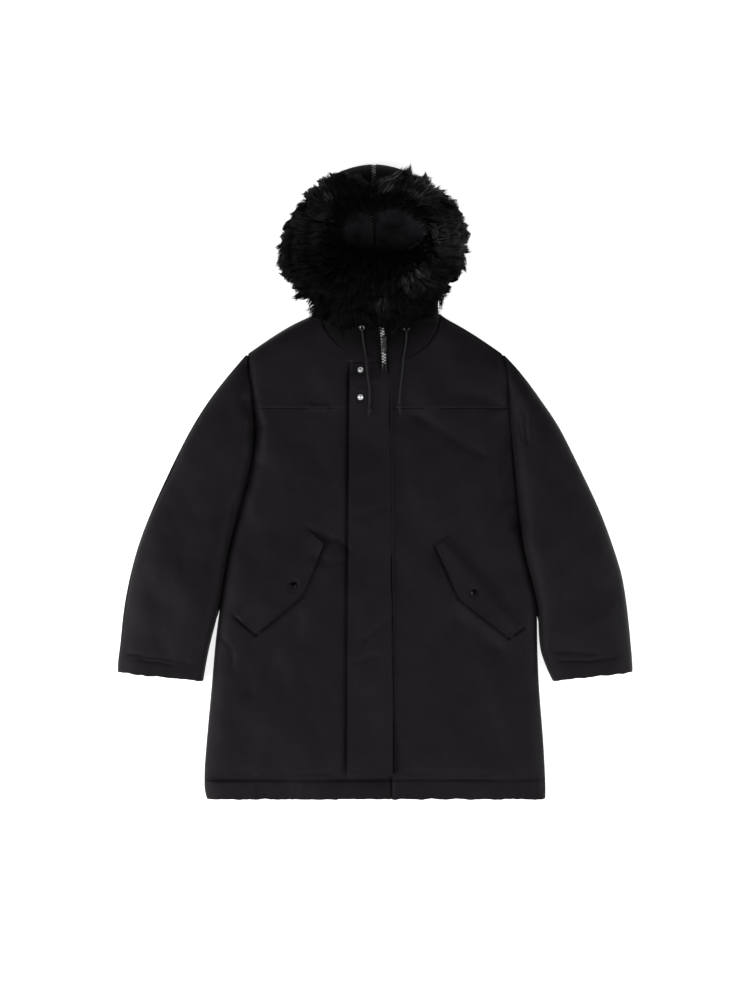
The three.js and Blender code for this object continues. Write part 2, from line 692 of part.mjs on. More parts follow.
// Fur ruff round the face opening: a tufted ring, cut to the hood and split over the zip.
function addRuff() {
  const at = (turn, around) => {
    const degrees = turn * 360;
    const get = (name) => along(RUFF, "angle", name, degrees);
    const direction = THREE.MathUtils.degToRad(degrees);
    const tuft = Math.sin(turn * 2 * Math.PI * RUFF_TUFTS + 2 * Math.sin(turn * 4 * Math.PI));
    const outer = get("outer") * (1 + RUFF_TUFT_DEPTH * (tuft - 1));
    const inner = get("inner");
    const radius = mix(inner, outer, 0.5 + 0.5 * Math.cos(around));
    const swell = 1 + 0.06 * Math.sin(3 * around + tuft);
    const z = mix(get("low"), get("high"), 0.5 + 0.5 * Math.sin(around) * swell);
    return point(RUFF_X + radius * Math.cos(direction), RUFF_Y + radius * Math.sin(direction), z);
  };
  const slit = new THREE.BoxGeometry(RUFF_SLIT, 400, 300);
  slit.deleteAttribute("normal");
  slit.deleteAttribute("uv");
  slit.translate(HOOD[HOOD.length - 1].frontX, RUFF_Y - 210, 50);
  const channel = hoodBody(1.1).add(solid(zipGeometry(ZIP_HALF + 0.6, ZIP_WALL + 1)));
  const made = solid(ring(54, 10, at)).subtract(channel).subtract(solid(merged(slit)));
  const bodies = made.decompose().sort((a, b) => b.volume() - a.volume());
  add("ruff", geometryOf(bodies[0]), FUR);
}

// A box's or extrusion's geometry with its shared corners joined.
function merged(geometry) {
  const source = geometry.index ? geometry.toNonIndexed() : geometry;
  const array = source.getAttribute("position").array;
  const seen = new Map();
  const positions = [];
  const index = [];
  for (let i = 0; i < array.length; i += 3) {
    const key = [0, 1, 2].map((k) => Math.round(array[i + k] * 1e4)).join();
    if (!seen.has(key)) {
      seen.set(key, positions.length / 3);
      positions.push(array[i], array[i + 1], array[i + 2]);
    }
    index.push(seen.get(key));
  }
  return closed(positions, index);
}

// Middle of the zip's upper side at a place along it: 0 at the hood's rim, 1 at the hem end.
function zipPoints() {
  const overHood = [1, 0.9, 0.8, 0.7, 0.6, 0.5, 0.42, 0.34, 0.26, 0.19, 0.13, 0.07, 0.02];
  const onHood = overHood.map((v) => hoodPoint(0, v));
  const levels = [205, 185, 160, YOKE_Y, ...SIDE_LEVELS, -405, -475, -525, ZIP_END_Y];
  const onBody = levels.map((y) => point(zipX(y), y, restOnBody(zipX(y), y, 8)));
  return onHood.concat(onBody);
}

function zipGeometry(half, thickness) {
  const middle = zipPoints();
  const outer = (u, v) => middle[v].clone().add(point(u * half, 0, ZIP_GAP + thickness));
  return wall([-1, 1], range(middle.length), outer, () => point(0, 0, -thickness));
}

// Storm flap over the zip, with its free edge to the right.
function flyTop(x, y) {
  const down = (FLY.top - y) / (FLY.top - FLY.bottom);
  const free = mix(FLY.freeTop, FLY.freeBottom, down);
  const sewn = mix(FLY.sewnTop, FLY.sewnBottom, down);
  const share = (x - free) / (sewn - free);
  const lift = mix(FLY_LIFT, SEAM_GAP + 0.2, smooth((share - 0.94) / 0.06));
  return restOnBody(x, y, 9) + lift + FLAP_WALL;
}

function addFlap() {
  const levels = [218, 212, 195, 170, YOKE_Y, ...SIDE_LEVELS, -375, -420, -470, -510, -535, -545];
  const xOf = (u, y) => {
    const down = (FLY.top - y) / (FLY.top - FLY.bottom);
    return mix(mix(FLY.freeTop, FLY.freeBottom, down), mix(FLY.sewnTop, FLY.sewnBottom, down), u);
  };
  const outer = (u, y) => point(xOf(u, y), y, flyTop(xOf(u, y), y));
  const inward = () => point(0, 0, -FLAP_WALL);
  const across = [0, 0.05, 0.25, 0.5, 0.75, 0.94, 1];
  add("fly_flap", wall(across, levels, outer, inward), CLOTH);
}

// A pocket flap's place: u along its sewn edge, v from that edge to its free edge.
function pocketPlace(pocket, u, v) {
  const dx = pocket.x2 - pocket.x1;
  const dy = pocket.y2 - pocket.y1;
  const length = Math.hypot(dx, dy);
  const sign = pocket.name === "right" ? 1 : -1;
  const depth =
    u < POCKET_POINT
      ? mix(pocket.start, pocket.middle, u / POCKET_POINT)
      : mix(pocket.middle, pocket.end, (u - POCKET_POINT) / (1 - POCKET_POINT));
  const x = mix(pocket.x1, pocket.x2, u) - (sign * dy * depth * v) / length;
  const y = mix(pocket.y1, pocket.y2, u) + (sign * dx * depth * v) / length;
  return [x, y];
}

function addPockets() {
  const us = [0, 0.03, 0.12, 0.24, 0.35, POCKET_POINT, 0.58, 0.7, 0.82, 0.93, 0.98, 1];
  const vs = [0, 0.08, 0.3, 0.55, 0.8, 0.95, 1];
  const top = (pocket, u, v) => {
    const [x, y] = pocketPlace(pocket, u, v);
    return point(x, y, restOnBody(x, y, 14) + POCKET_GAP + FLAP_WALL);
  };
  for (const pocket of POCKETS) {
    const outer = (u, v) => top(pocket, u, v);
    const down = () => point(0, 0, -FLAP_WALL);
    add(`pocket_flap_${pocket.name}`, wall(us, vs, outer, down), CLOTH);
    const share = pocket.reach / pocket.middle;
    addSnap(`pocket_snap_${pocket.name}`, top(pocket, pocket.snap, share), GUNMETAL);
  }
}

// A snap's cap: a domed disc with a rolled edge, turned round the Z axis.
function addSnap(name, place, material) {
  const profile = [[0, 0], [0.93, 0], [1, 0.5], [0.98, 1.3], [0.8, 2.1], [0.4, 2.6], [0, 2.7]];
  const geometry = new THREE.LatheGeometry(
    profile.map(([r, z]) => new THREE.Vector2(r * SNAP_RADIUS, z)),
    16,
  );
  geometry.rotateX(Math.PI / 2);
  geometry.translate(place.x, place.y, place.z + 0.5);
  add(name, merged(geometry), material);
}

function addFlySnaps() {
  FLY_SNAPS.forEach((y, i) => {
    addSnap(`fly_snap_${i + 1}`, point(FLY_SNAP_X, y, flyTop(FLY_SNAP_X, y)), SILVER);
  });
}

// Hood's front at a place in plan: its height and normal, found from the nearest grid point.
function hoodFrontAt(x, y) {
  let best = { away: Infinity };
  for (const i of range(121))
    for (const j of range(61)) {
      const angle = mix(-1.2, 1.2, i / 120);
      const v = mix(0, 0.3, j / 60);
      const p = hoodPoint(angle, v);
      const away = Math.hypot(p.x - x, p.y - y);
      if (away < best.away) best = { away, z: p.z, normal: hoodNormal(angle, v) };
    }
  return best;
}

// Grommets on the hood's front, each a ring with the cord's hole.
function addGrommets() {
  for (const cord of CORDS) {
    const [x, y] = cord.grommet;
    const { z, normal } = hoodFrontAt(x, y);
    const radii = [GROMMET_HOLE, GROMMET_RADIUS, GROMMET_RADIUS, 4.6, 3.2, GROMMET_HOLE];
    const heights = [0, 0, 0.7, 1.5, 1.6, 1];
    const points = radii.map((r, i) => new THREE.Vector2(r, heights[i]));
    const geometry = new THREE.LatheGeometry(points.concat(points[0].clone()), 20);
    geometry.applyQuaternion(new THREE.Quaternion().setFromUnitVectors(point(0, 1, 0), normal));
    const seat = point(x, y, z).addScaledVector(normal, 0.4);
    geometry.translate(seat.x, seat.y, seat.z);
    add(`grommet_${cord.name}`, merged(geometry), SILVER);
  }
}

// Height that a cord rests on at a place in plan.
function cordRest(x, y) {
  if (y > FLY.top + 4) {
    const front = hoodFrontAt(x, y);
    return front.away < 3 ? front.z : bodyTop(x, y);
  }
  const overFly = x > FLY.freeTop && x < FLY.sewnTop + 3;
  return overFly ? flyTop(x, Math.min(y, FLY.top)) : bodyTop(x, y);
}

// Drawcords, which lie from their grommets over the hood's front onto the flap, with knots.
function addCords() {
  for (const cord of CORDS) {
    const lie = ([x, y], i) => {
      const lift = i === 0 ? 3.6 : 0.6;
      return point(x, y, cordRest(x, y) + CORD_RADIUS + lift);
    };
    const places = cord.x.map((x, i) => lie([x, cord.y[i]], i));
    const path = new THREE.CatmullRomCurve3(places, false, "centripetal");
    const section = new THREE.Shape();
    for (const i of range(8)) {
      const angle = (i / 8) * 2 * Math.PI;
      const [x, y] = [CORD_RADIUS * Math.cos(angle), CORD_RADIUS * Math.sin(angle)];
      if (i === 0) section.moveTo(x, y);
      else section.lineTo(x, y);
    }
    section.closePath();
    const options = { steps: 26, extrudePath: path, bevelEnabled: false };
    const tube = new THREE.ExtrudeGeometry(section, options);
    add(`cord_${cord.name}`, merged(tube), CORD_MATERIAL);
    const end = places[places.length - 1];
    const knot = new THREE.SphereGeometry(KNOT_RADIUS, 10, 7);
    knot.scale(1, 1.25, 0.85);
    const away = KNOT_RADIUS * 1.25 + SEAM_GAP;
    const restZ = cordRest(end.x, end.y - away) + KNOT_RADIUS * 0.85 + 0.4;
    knot.translate(end.x, end.y - away, restZ);
    add(`knot_${cord.name}`, merged(knot), CORD_MATERIAL);
  }
}

// Zip slider with its bridge, and the pull tab that hangs in it.
const SLIDER_Y = 262;
const SLIDER = { half: 4.4, reach: 6, plate: 2.6 };
const BRIDGE = { half: 1.1, high: 3.4, reach: 3.2, wall: 0.9 };
const PULL = { bar: 0.8, armInner: 1.7, armOuter: 3.2, half: 4.2, eye: 5, length: 24, thick: 1.6 };
const PULL_LIFT = 1.3; // hinge above the slider's plate

function sliderPlace() {
  const front = hoodFrontAt(zipX(SLIDER_Y), SLIDER_Y + SLIDER.reach);
  return { x: zipX(SLIDER_Y), z: front.z + ZIP_GAP + ZIP_WALL + 0.6 };
}

// A box about a middle in plan, from one height to another.
function boxAt(x, y, halfX, halfY, low, high) {
  const box = new THREE.BoxGeometry(2 * halfX, 2 * halfY, high - low);
  box.translate(x, y, (low + high) / 2);
  return solid(merged(box));
}

function addSlider() {
  const { x, z } = sliderPlace();
  const top = z + SLIDER.plate;
  const high = top + BRIDGE.high;
  const plate = boxAt(x, SLIDER_Y, SLIDER.half, SLIDER.reach, z, top);
  const bridge = boxAt(x, SLIDER_Y, BRIDGE.half, BRIDGE.reach, top - 0.2, high);
  const eyeReach = BRIDGE.reach - BRIDGE.wall;
  const eye = boxAt(x, SLIDER_Y, 2 * BRIDGE.half, eyeReach, top + 0.01, high - BRIDGE.wall);
  add("zip_slider", geometryOf(plate.add(bridge.subtract(eye))), SILVER);
}

function addPull() {
  const { x, z } = sliderPlace();
  const low = z + SLIDER.plate + PULL_LIFT - PULL.bar;
  const high = low + PULL.thick;
  const bar = boxAt(x, SLIDER_Y, PULL.armOuter, PULL.bar, low, high);
  const armMiddle = (PULL.armInner + PULL.armOuter) / 2;
  const armHalf = (PULL.armOuter - PULL.armInner) / 2;
  const armEnds = [SLIDER_Y - PULL.eye - 1, SLIDER_Y + PULL.bar];
  const armY = (armEnds[0] + armEnds[1]) / 2;
  const armReach = (armEnds[1] - armEnds[0]) / 2;
  const arms = [-1, 1].map((side) => boxAt(x + side * armMiddle, armY, armHalf, armReach, low, high));
  const tabY = SLIDER_Y - (PULL.length + PULL.eye) / 2;
  const tab = boxAt(x, tabY, PULL.half, (PULL.length - PULL.eye) / 2, low, high);
  const made = arms.reduce((joined, arm) => joined.add(arm), bar.add(tab));
  add("zip_pull", geometryOf(made), SILVER);
}

addBack();
addFronts();
addYokes();
addSleeves();
addHood();
addRuff();
add("front_zip", zipGeometry(ZIP_HALF, ZIP_WALL), GUNMETAL);
addFlap();
addPockets();
addFlySnaps();
addGrommets();
addCords();
addSlider();
addPull();

export default parka;
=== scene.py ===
"""Black padded parka with a fur-trimmed hood, laid flat on its back and seen from straight above."""

import json
import math
import random

import bmesh
import bpy
from mathutils import Matrix, Vector, noise
from mathutils.bvhtree import BVHTree
from mathutils.kdtree import KDTree

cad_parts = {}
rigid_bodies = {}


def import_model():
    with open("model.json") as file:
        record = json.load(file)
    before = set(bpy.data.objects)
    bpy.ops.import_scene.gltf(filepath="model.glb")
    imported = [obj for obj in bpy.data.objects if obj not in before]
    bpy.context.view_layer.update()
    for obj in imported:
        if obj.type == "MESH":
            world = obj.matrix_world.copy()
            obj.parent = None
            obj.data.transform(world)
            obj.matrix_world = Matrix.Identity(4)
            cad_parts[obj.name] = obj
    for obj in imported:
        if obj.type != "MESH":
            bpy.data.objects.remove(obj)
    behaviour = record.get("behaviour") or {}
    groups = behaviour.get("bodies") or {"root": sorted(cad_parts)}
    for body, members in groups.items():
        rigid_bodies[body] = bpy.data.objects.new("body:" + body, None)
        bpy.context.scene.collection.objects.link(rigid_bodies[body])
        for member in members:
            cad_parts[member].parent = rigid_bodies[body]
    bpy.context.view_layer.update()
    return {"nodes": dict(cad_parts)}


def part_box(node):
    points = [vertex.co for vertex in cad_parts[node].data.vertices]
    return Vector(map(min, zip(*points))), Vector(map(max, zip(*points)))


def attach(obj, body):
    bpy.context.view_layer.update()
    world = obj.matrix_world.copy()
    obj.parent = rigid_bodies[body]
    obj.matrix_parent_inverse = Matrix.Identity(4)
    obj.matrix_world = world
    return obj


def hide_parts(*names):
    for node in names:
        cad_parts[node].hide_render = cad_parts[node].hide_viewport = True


bl_info = {
    "name": "Padded Parka",
    "version": (1, 0, 0),
    "blender": (4, 5, 0),
    "location": "3D View > Sidebar > Parka",
    "description": "Cloth, fur, zips, snaps and cords of a padded parka laid flat",
    "category": "Object",
}

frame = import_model()
NODES = frame["nodes"]

MM = 0.001
GARMENT = "garment"
PULL_TAB = "pull_tab"

# The photograph's frame: its height in pixels, a pixel's real size, and the place at its middle
FRAME_HEIGHT = 1000
PIXEL = 1.85 * MM
VIEW_X = 0.0
VIEW_Y = (481.5 - FRAME_HEIGHT / 2) * PIXEL
CAMERA_HEIGHT = 6.0
CLOTH_HEIGHT = 0.035

# Places on the garment, in metres
HEM_STITCH_Y = -0.552
HEM_Y = -0.589
ZIP_STOP_Y = -0.495
CUFF_Y = -0.358
YOKE_Y = 0.136
FLY_TOP = 0.218
FLY_BOTTOM = -0.545
FLY_FREE = (-0.0463, -0.051)
FLY_SEWN = (0.033, 0.0385)


class ParkaCloth(bpy.types.PropertyGroup):
    """Sizes and colours of the cloth."""

    colour: bpy.props.FloatVectorProperty(
        name="Cloth colour",
        description="Base colour of the shell cloth",
        subtype="COLOR",
        size=3,
        default=(0.0065, 0.0047, 0.0066),
        min=0,
        max=1,
    )
    # Lining colour: partly its own paler tone, partly painted light for the dim inside of the hood
    lining: bpy.props.FloatVectorProperty(
        name="Lining colour",
        description="Base colour inside the hood",
        subtype="COLOR",
        size=3,
        default=(0.044, 0.041, 0.050),
        min=0,
        max=1,
    )
    thread: bpy.props.FloatProperty(
        name="Thread pitch",
        description="Distance between two threads of the weave",
        default=0.0006,
        min=0.0002,
        unit="LENGTH",
    )
    smoothing: bpy.props.IntProperty(
        name="Smoothing",
        description="Subdivision levels of the large panels",
        default=3,
        min=1,
        max=4,
    )
    wrinkle: bpy.props.FloatProperty(
        name="Wrinkle depth",
        description="Depth of the small wrinkles",
        default=0.0016,
        min=0,
        unit="LENGTH",
    )


class ParkaFur(bpy.types.PropertyGroup):
    """Sizes and colours of the fur ruff."""

    colour: bpy.props.FloatVectorProperty(
        name="Fur colour",
        description="Base colour of the fur",
        subtype="COLOR",
        size=3,
        default=(0.0016, 0.0016, 0.0020),
        min=0,
        max=1,
    )
    locks: bpy.props.IntProperty(
        name="Locks",
        description="Number of fur locks",
        default=28000,
        min=1000,
    )
    tufts: bpy.props.IntProperty(
        name="Tufts",
        description="Number of tufts that the locks gather to",
        default=900,
        min=10,
    )
    length: bpy.props.FloatProperty(
        name="Lock length",
        description="Length of a long lock",
        default=0.046,
        min=0.005,
        unit="LENGTH",
    )
    width: bpy.props.FloatProperty(
        name="Lock width",
        description="Width of a lock at its root",
        default=0.0017,
        min=0.0002,
        unit="LENGTH",
    )


class ParkaMetal(bpy.types.PropertyGroup):
    """Sizes and colours of the metal pieces."""

    silver: bpy.props.FloatVectorProperty(
        name="Silver colour",
        description="Colour of the bright metal",
        subtype="COLOR",
        size=3,
        default=(0.82, 0.82, 0.84),
        min=0,
        max=1,
    )
    dark: bpy.props.FloatVectorProperty(
        name="Dark colour",
        description="Colour of the dark snaps",
        subtype="COLOR",
        size=3,
        default=(0.01, 0.01, 0.011),
        min=0,
        max=1,
    )
    tooth_pitch: bpy.props.FloatProperty(
        name="Tooth pitch",
        description="Distance between two teeth on one side of a zip",
        default=0.0054,
        min=0.001,
        unit="LENGTH",
    )
    snap_radius: bpy.props.FloatProperty(
        name="Snap radius",
        description="Radius of a snap's cap",
        default=0.0056,
        min=0.001,
        unit="LENGTH",
    )


class ParkaStage(bpy.types.PropertyGroup):
    """Light and floor."""

    floor: bpy.props.FloatVectorProperty(
        name="Floor colour",
        description="Colour of the ground",
        subtype="COLOR",
        size=3,
        default=(0.93, 0.93, 0.93),
        min=0,
        max=1,
    )
    side_light: bpy.props.FloatProperty(
        name="Side light",
        description="Power of each side softbox",
        default=50.0,
        min=0,
        unit="POWER",
    )
    front_light: bpy.props.FloatProperty(
        name="Front light",
        description="Power of the softbox beyond the hem",
        default=21.0,
        min=0,
        unit="POWER",
    )
    glow: bpy.props.FloatProperty(
        name="Table glow",
        description="Light that the white table gives off by itself",
        default=0.75,
        min=0,
    )
    sky: bpy.props.FloatProperty(
        name="Room light",
        description="Strength of the even light of the room",
        default=0.15,
        min=0,
    )


# Small helpers


def settings(name):
    return getattr(bpy.context.scene, "parka_" + name)


def mix(a, b, t):
    return a + (b - a) * t


def clamp(value, low=0.0, high=1.0):
    return max(low, min(high, value))


def smooth(t):
    t = clamp(t)
    return t * t * (3 - 2 * t)


def deselect():
    if bpy.context.object and bpy.context.object.mode != "OBJECT":
        bpy.ops.object.mode_set(mode="OBJECT")
    bpy.ops.object.select_all(action="DESELECT")


def make_active(piece):
    deselect()
    piece.select_set(True)
    bpy.context.view_layer.objects.active = piece


def new_object(name, mesh):
    piece = bpy.data.objects.new(name, mesh)
    bpy.context.scene.collection.objects.link(piece)
    return piece


def set_inputs(node, **values):
    for name, value in values.items():
        node.inputs[name.replace("_", " ")].default_value = value


def dress(piece, material, body, slot, replaced=()):
    piece.data.materials.clear()
    piece.data.materials.append(material)
    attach(piece, body)
    if replaced:
        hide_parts(*replaced)


def shade_smooth(piece, angle=40):
    make_active(piece)
    bpy.ops.object.shade_smooth_by_angle(angle=math.radians(angle))


def tree_of(*pieces):
    """Search tree of the final faces of some pieces."""
    verts = []
    faces = []
    for piece in pieces:
        base = len(verts)
        verts.extend(v.co.copy() for v in piece.data.vertices)
        faces.extend([base + i for i in p.vertices] for p in piece.data.polygons)
    return BVHTree.FromPolygons(verts, faces)


def drop_on(tree, x, y, start=0.3):
    """Place and normal of the first face under a point of the plan."""
    hit, normal, _, _ = tree.ray_cast(Vector((x, y, start)), Vector((0, 0, -1)))
    return hit, normal


# Materials


class Shader:
    """A material's node tree, with short calls for its nodes and links."""

    def __init__(self, name):
        self.material = bpy.data.materials.new(name)
        self.material.use_nodes = True
        self.tree = self.material.node_tree
        self.surface = self.tree.nodes["Principled BSDF"]

    def node(self, kind, **options):
        made = self.tree.nodes.new(kind)
        for name, value in options.items():
            setattr(made, name, value)
        return made

    def link(self, source, target):
        self.tree.links.new(source, target)

    def place(self):
        return self.node("ShaderNodeTexCoord").outputs["Object"]

    def noise(self, vector, scale, detail=3.0, roughness=0.55):
        made = self.node("ShaderNodeTexNoise")
        set_inputs(made, Scale=scale, Detail=detail, Roughness=roughness)
        self.link(vector, made.inputs["Vector"])
        return made.outputs["Fac"]

    def ramp(self, source, stops):
        made = self.node("ShaderNodeValToRGB")
        elements = made.color_ramp.elements
        while len(elements) < len(stops):
            elements.new(0.5)
        for element, (position, colour) in zip(elements, stops):
            element.position = position
            element.color = (*colour, 1)
        self.link(source, made.inputs["Fac"])
        return made.outputs["Color"]

    def multiply(self, a, b):
        blend = self.node("ShaderNodeMix", data_type="RGBA", blend_type="MULTIPLY")
        blend.inputs["Factor"].default_value = 1.0
        self.link(a, blend.inputs["A"])
        self.link(b, blend.inputs["B"])
        return blend.outputs["Result"]

    def off_middle(self, place):
        """Distance in plan from the middle of the hood's opening."""
        flat = self.node("ShaderNodeVectorMath", operation="MULTIPLY")
        flat.inputs[1].default_value = (1, 1, 0)
        self.link(place, flat.inputs[0])
        away = self.node("ShaderNodeVectorMath", operation="DISTANCE")
        away.inputs[1].default_value = OPENING_MIDDLE
        self.link(flat.outputs["Vector"], away.inputs[0])
        return away.outputs["Value"]

    def math(self, operation, a, b):
        made = self.node("ShaderNodeMath", operation=operation)
        for socket, value in zip(made.inputs, (a, b)):
            if isinstance(value, (int, float)):
                socket.default_value = value
            else:
                self.link(value, socket)
        return made.outputs["Value"]

    def wave(self, vector, pitch, direction):
        made = self.node("ShaderNodeTexWave", wave_type="BANDS", bands_direction=direction)
        made.wave_profile = "SIN"
        # A wave's pitch is 2 pi / 20 over its scale
        set_inputs(made, Scale=math.pi / 10 / pitch, Distortion=0.0, Detail=0.0)
        self.link(vector, made.inputs["Vector"])
        return made.outputs["Fac"]

    def bump(self, height, distance, strength=1.0, under=None):
        made = self.node("ShaderNodeBump")
        set_inputs(made, Strength=strength, Distance=distance)
        self.link(height, made.inputs["Height"])
        if under is not None:
            self.link(under, made.inputs["Normal"])
        return made.outputs["Normal"]


# Distances from the opening's middle over which the hood's cloth goes from dark, painted shadow of the
# fur, to its own colour
HOOD_PAINTED_SHADOW = (0.194, 0.224)


def scaled(colour, factor):
    return tuple(c * factor for c in colour)


def cloth_material(name, colour, roughness=0.62, shine=0.12, clouds=(9.0, 0.8, 1.2), painted_fur_shadow=1.0):
    """Fine plain weave with faint shade changes, a soft sheen and small creases, and, when asked,
    painted shadow of the fur that darkens the colour near the hood's opening.
    """
    s = Shader(name)
    pitch = settings("cloth").thread
    place = s.place()
    warp = s.wave(place, pitch, "X")
    weft = s.wave(place, pitch, "Y")
    weave = s.math("MULTIPLY", warp, weft)
    scale, low, high = clouds
    cloudy = s.noise(place, scale, 3.0)
    mottle = s.noise(place, 160.0, 3.0)
    shades = s.ramp(cloudy, [(0.3, scaled(colour, low)), (0.7, scaled(colour, high))])
    fine = s.ramp(mottle, [(0.3, (0.84, 0.84, 0.84)), (0.7, (1.0, 1.0, 1.0))])
    base = s.multiply(shades, fine)
    # Painted shadow of the fur: the colour darkens toward the middle of the hood's opening
    if painted_fur_shadow < 1:
        fur_end, cloth_start = HOOD_PAINTED_SHADOW
        painted_shadow = s.ramp(s.off_middle(place), [(fur_end, (painted_fur_shadow,) * 3), (cloth_start, (1.0,) * 3)])
        base = s.multiply(base, painted_shadow)
    s.link(base, s.surface.inputs["Base Color"])
    rough = s.ramp(mottle, [(0.2, (roughness - 0.06,) * 3), (0.8, (roughness + 0.08,) * 3)])
    s.link(rough, s.surface.inputs["Roughness"])
    creases = s.noise(place, 55.0, 4.0, 0.6)
    relief = s.bump(creases, 0.0012, 0.5)
    normal = s.bump(weave, 0.00012, 0.45, relief)
    s.link(normal, s.surface.inputs["Normal"])
    set_inputs(s.surface, Sheen_Weight=0.25 * shine, Sheen_Roughness=0.45)
    s.surface.inputs["Specular IOR Level"].default_value = shine
    return s.material


def fur_material(name, colour, tint=1.0):
    """Black hair, dull or glossy as each lock's own attribute says; on glossy locks the base colour is
    lightened too, as a painted highlight.
    """
    s = Shader(name)
    patches = s.noise(s.place(), 60.0, 2.0)
    gloss_and_highlight = s.node("ShaderNodeAttribute", attribute_name="gloss_and_highlight").outputs["Fac"]
    shine = s.math("MULTIPLY", gloss_and_highlight, s.math("ADD", patches, 0.5))
    # Painted highlight: the base colour grows up to five times lighter with the shine
    shade = s.ramp(shine, [(0.0, scaled(colour, 0.6 * tint)), (1.0, scaled(colour, 5.0 * tint))])
    s.link(shade, s.surface.inputs["Base Color"])
    s.link(s.ramp(shine, [(0.0, (0.62,) * 3), (1.0, (0.3,) * 3)]), s.surface.inputs["Roughness"])
    level = s.math("ADD", s.math("MULTIPLY", shine, 0.9), 0.05)
    s.link(level, s.surface.inputs["Specular IOR Level"])
    return s.material


def metal_material(name, colour, roughness, scratches=0.15):
    """Plated metal with fine brushing and faint wear."""
    s = Shader(name)
    place = s.place()
    wear = s.noise(place, 900.0, 3.0)
    shade = s.ramp(wear, [(0.3, scaled(colour, 0.82)), (0.65, colour)])
    s.link(shade, s.surface.inputs["Base Color"])
    low = max(roughness - scratches * 0.5, 0.05)
    rough = s.ramp(wear, [(0.3, (roughness + scratches,) * 3), (0.7, (low,) * 3)])
    s.link(rough, s.surface.inputs["Roughness"])
    s.link(s.bump(wear, 0.00004, 0.4), s.surface.inputs["Normal"])
    set_inputs(s.surface, Metallic=1.0)
    return s.material


def cord_material(name, colour):
    """Braided cord, with its diagonal threads from the cord's own UV map."""
    s = Shader(name)
    uv = s.node("ShaderNodeUVMap", uv_map="along")
    mapping = s.node("ShaderNodeMapping")
    s.link(uv.outputs["UV"], mapping.inputs["Vector"])
    braids = []
    for turn in (math.radians(45), math.radians(-45)):
        turned = s.node("ShaderNodeMapping")
        turned.inputs["Rotation"].default_value = (0, 0, turn)
        s.link(mapping.outputs["Vector"], turned.inputs["Vector"])
        braids.append(s.wave(turned.outputs["Vector"], 0.25, "X"))
    braid = s.math("MAXIMUM", *braids)
    shade = s.ramp(braid, [(0.2, scaled(colour, 0.5)), (0.9, scaled(colour, 1.5))])
    s.link(shade, s.surface.inputs["Base Color"])
    s.link(s.bump(braid, 0.0003, 0.7), s.surface.inputs["Normal"])
    set_inputs(s.surface, Roughness=0.5, Sheen_Weight=0.06)
    s.surface.inputs["Specular IOR Level"].default_value = 0.22
    return s.material


MATERIALS = {}


def finish_of(name):
    """The part's materials, each made once."""
    if name not in MATERIALS:
        cloth = settings("cloth")
        fur = settings("fur")
        metal = settings("metal")
        makers = {
            "shell": lambda: cloth_material("shell_cloth", cloth.colour),
            # The hood's cloth, darkened near the ruff as painted shadow of the fur
            "hood": lambda: cloth_material("hood_cloth", cloth.colour, shine=0.05, painted_fur_shadow=0.25),
            # Lining: paler colour, partly painted light for the dim inside of the hood, with strong
            # blotches as painted shading of folds
            "lining": lambda: cloth_material("hood_lining", cloth.lining, 0.5, 0.2, (26.0, 0.25, 1.5)),
            "tape": lambda: cloth_material("zip_tape", scaled(cloth.colour, 0.4), 0.7, 0.05),
            "stitch": lambda: cloth_material("stitch_thread", scaled(cloth.colour, 1.3), 0.55),
            "fur": lambda: fur_material("black_fur", fur.colour),
            "underfur": lambda: fur_material("under_fur", fur.colour, 0.6),
            "silver": lambda: metal_material("silver_metal", metal.silver, 0.34),
            "teeth": lambda: metal_material("zip_teeth", scaled(metal.silver, 1.15), 0.6),
            "dark_teeth": lambda: metal_material("crown_teeth", scaled(metal.silver, 0.3), 0.3),
            "pull": lambda: metal_material("pull_metal", scaled(metal.silver, 0.14), 0.3),
            "eyelet": lambda: metal_material("eyelet_metal", scaled(metal.silver, 0.4), 0.2),
            "dark": lambda: metal_material("dark_metal", metal.dark, 0.25),
            "cord": lambda: cord_material("drawcord", (0.0075, 0.0072, 0.0078)),
        }
        MATERIALS[name] = makers[name]()
    return MATERIALS[name]


# Cloth made from the CAD walls


def quad_copy(node, name):
    """A copy of a CAD wall with joined corners and its triangles turned back into quads."""
    mesh = NODES[node].data.copy()
    mesh.name = name
    work = bmesh.new()
    work.from_mesh(mesh)
    bmesh.ops.remove_doubles(work, verts=work.verts, dist=0.00003)
    bmesh.ops.join_triangles(
        work,
        faces=work.faces,
        cmp_seam=False,
        cmp_sharp=False,
        cmp_uvs=False,
        cmp_vcols=False,
        cmp_materials=False,
        angle_face_threshold=math.radians(60),
        angle_shape_threshold=math.pi,
    )
    work.to_mesh(mesh)
    work.free()
    return new_object(name, mesh)


def crease_rims(piece, angle, weight, seams=None):
    """Keeps the wall's rims from rounding off wholly; seams(middle) picks those that stay crisp."""
    work = bmesh.new()
    work.from_mesh(piece.data)
    layer = work.edges.layers.float.get("crease_edge") or work.edges.layers.float.new("crease_edge")
    for edge in work.edges:
        if len(edge.link_faces) == 2 and edge.calc_face_angle(0) > angle:
            middle = (edge.verts[0].co + edge.verts[1].co) / 2
            edge[layer] = 1.0 if seams and seams(middle) else weight
    work.to_mesh(piece.data)
    work.free()


def subdivide(piece, levels):
    make_active(piece)
    modifier = piece.modifiers.new("round", "SUBSURF")
    modifier.levels = levels
    modifier.render_levels = levels
    bpy.ops.object.modifier_apply(modifier=modifier.name)


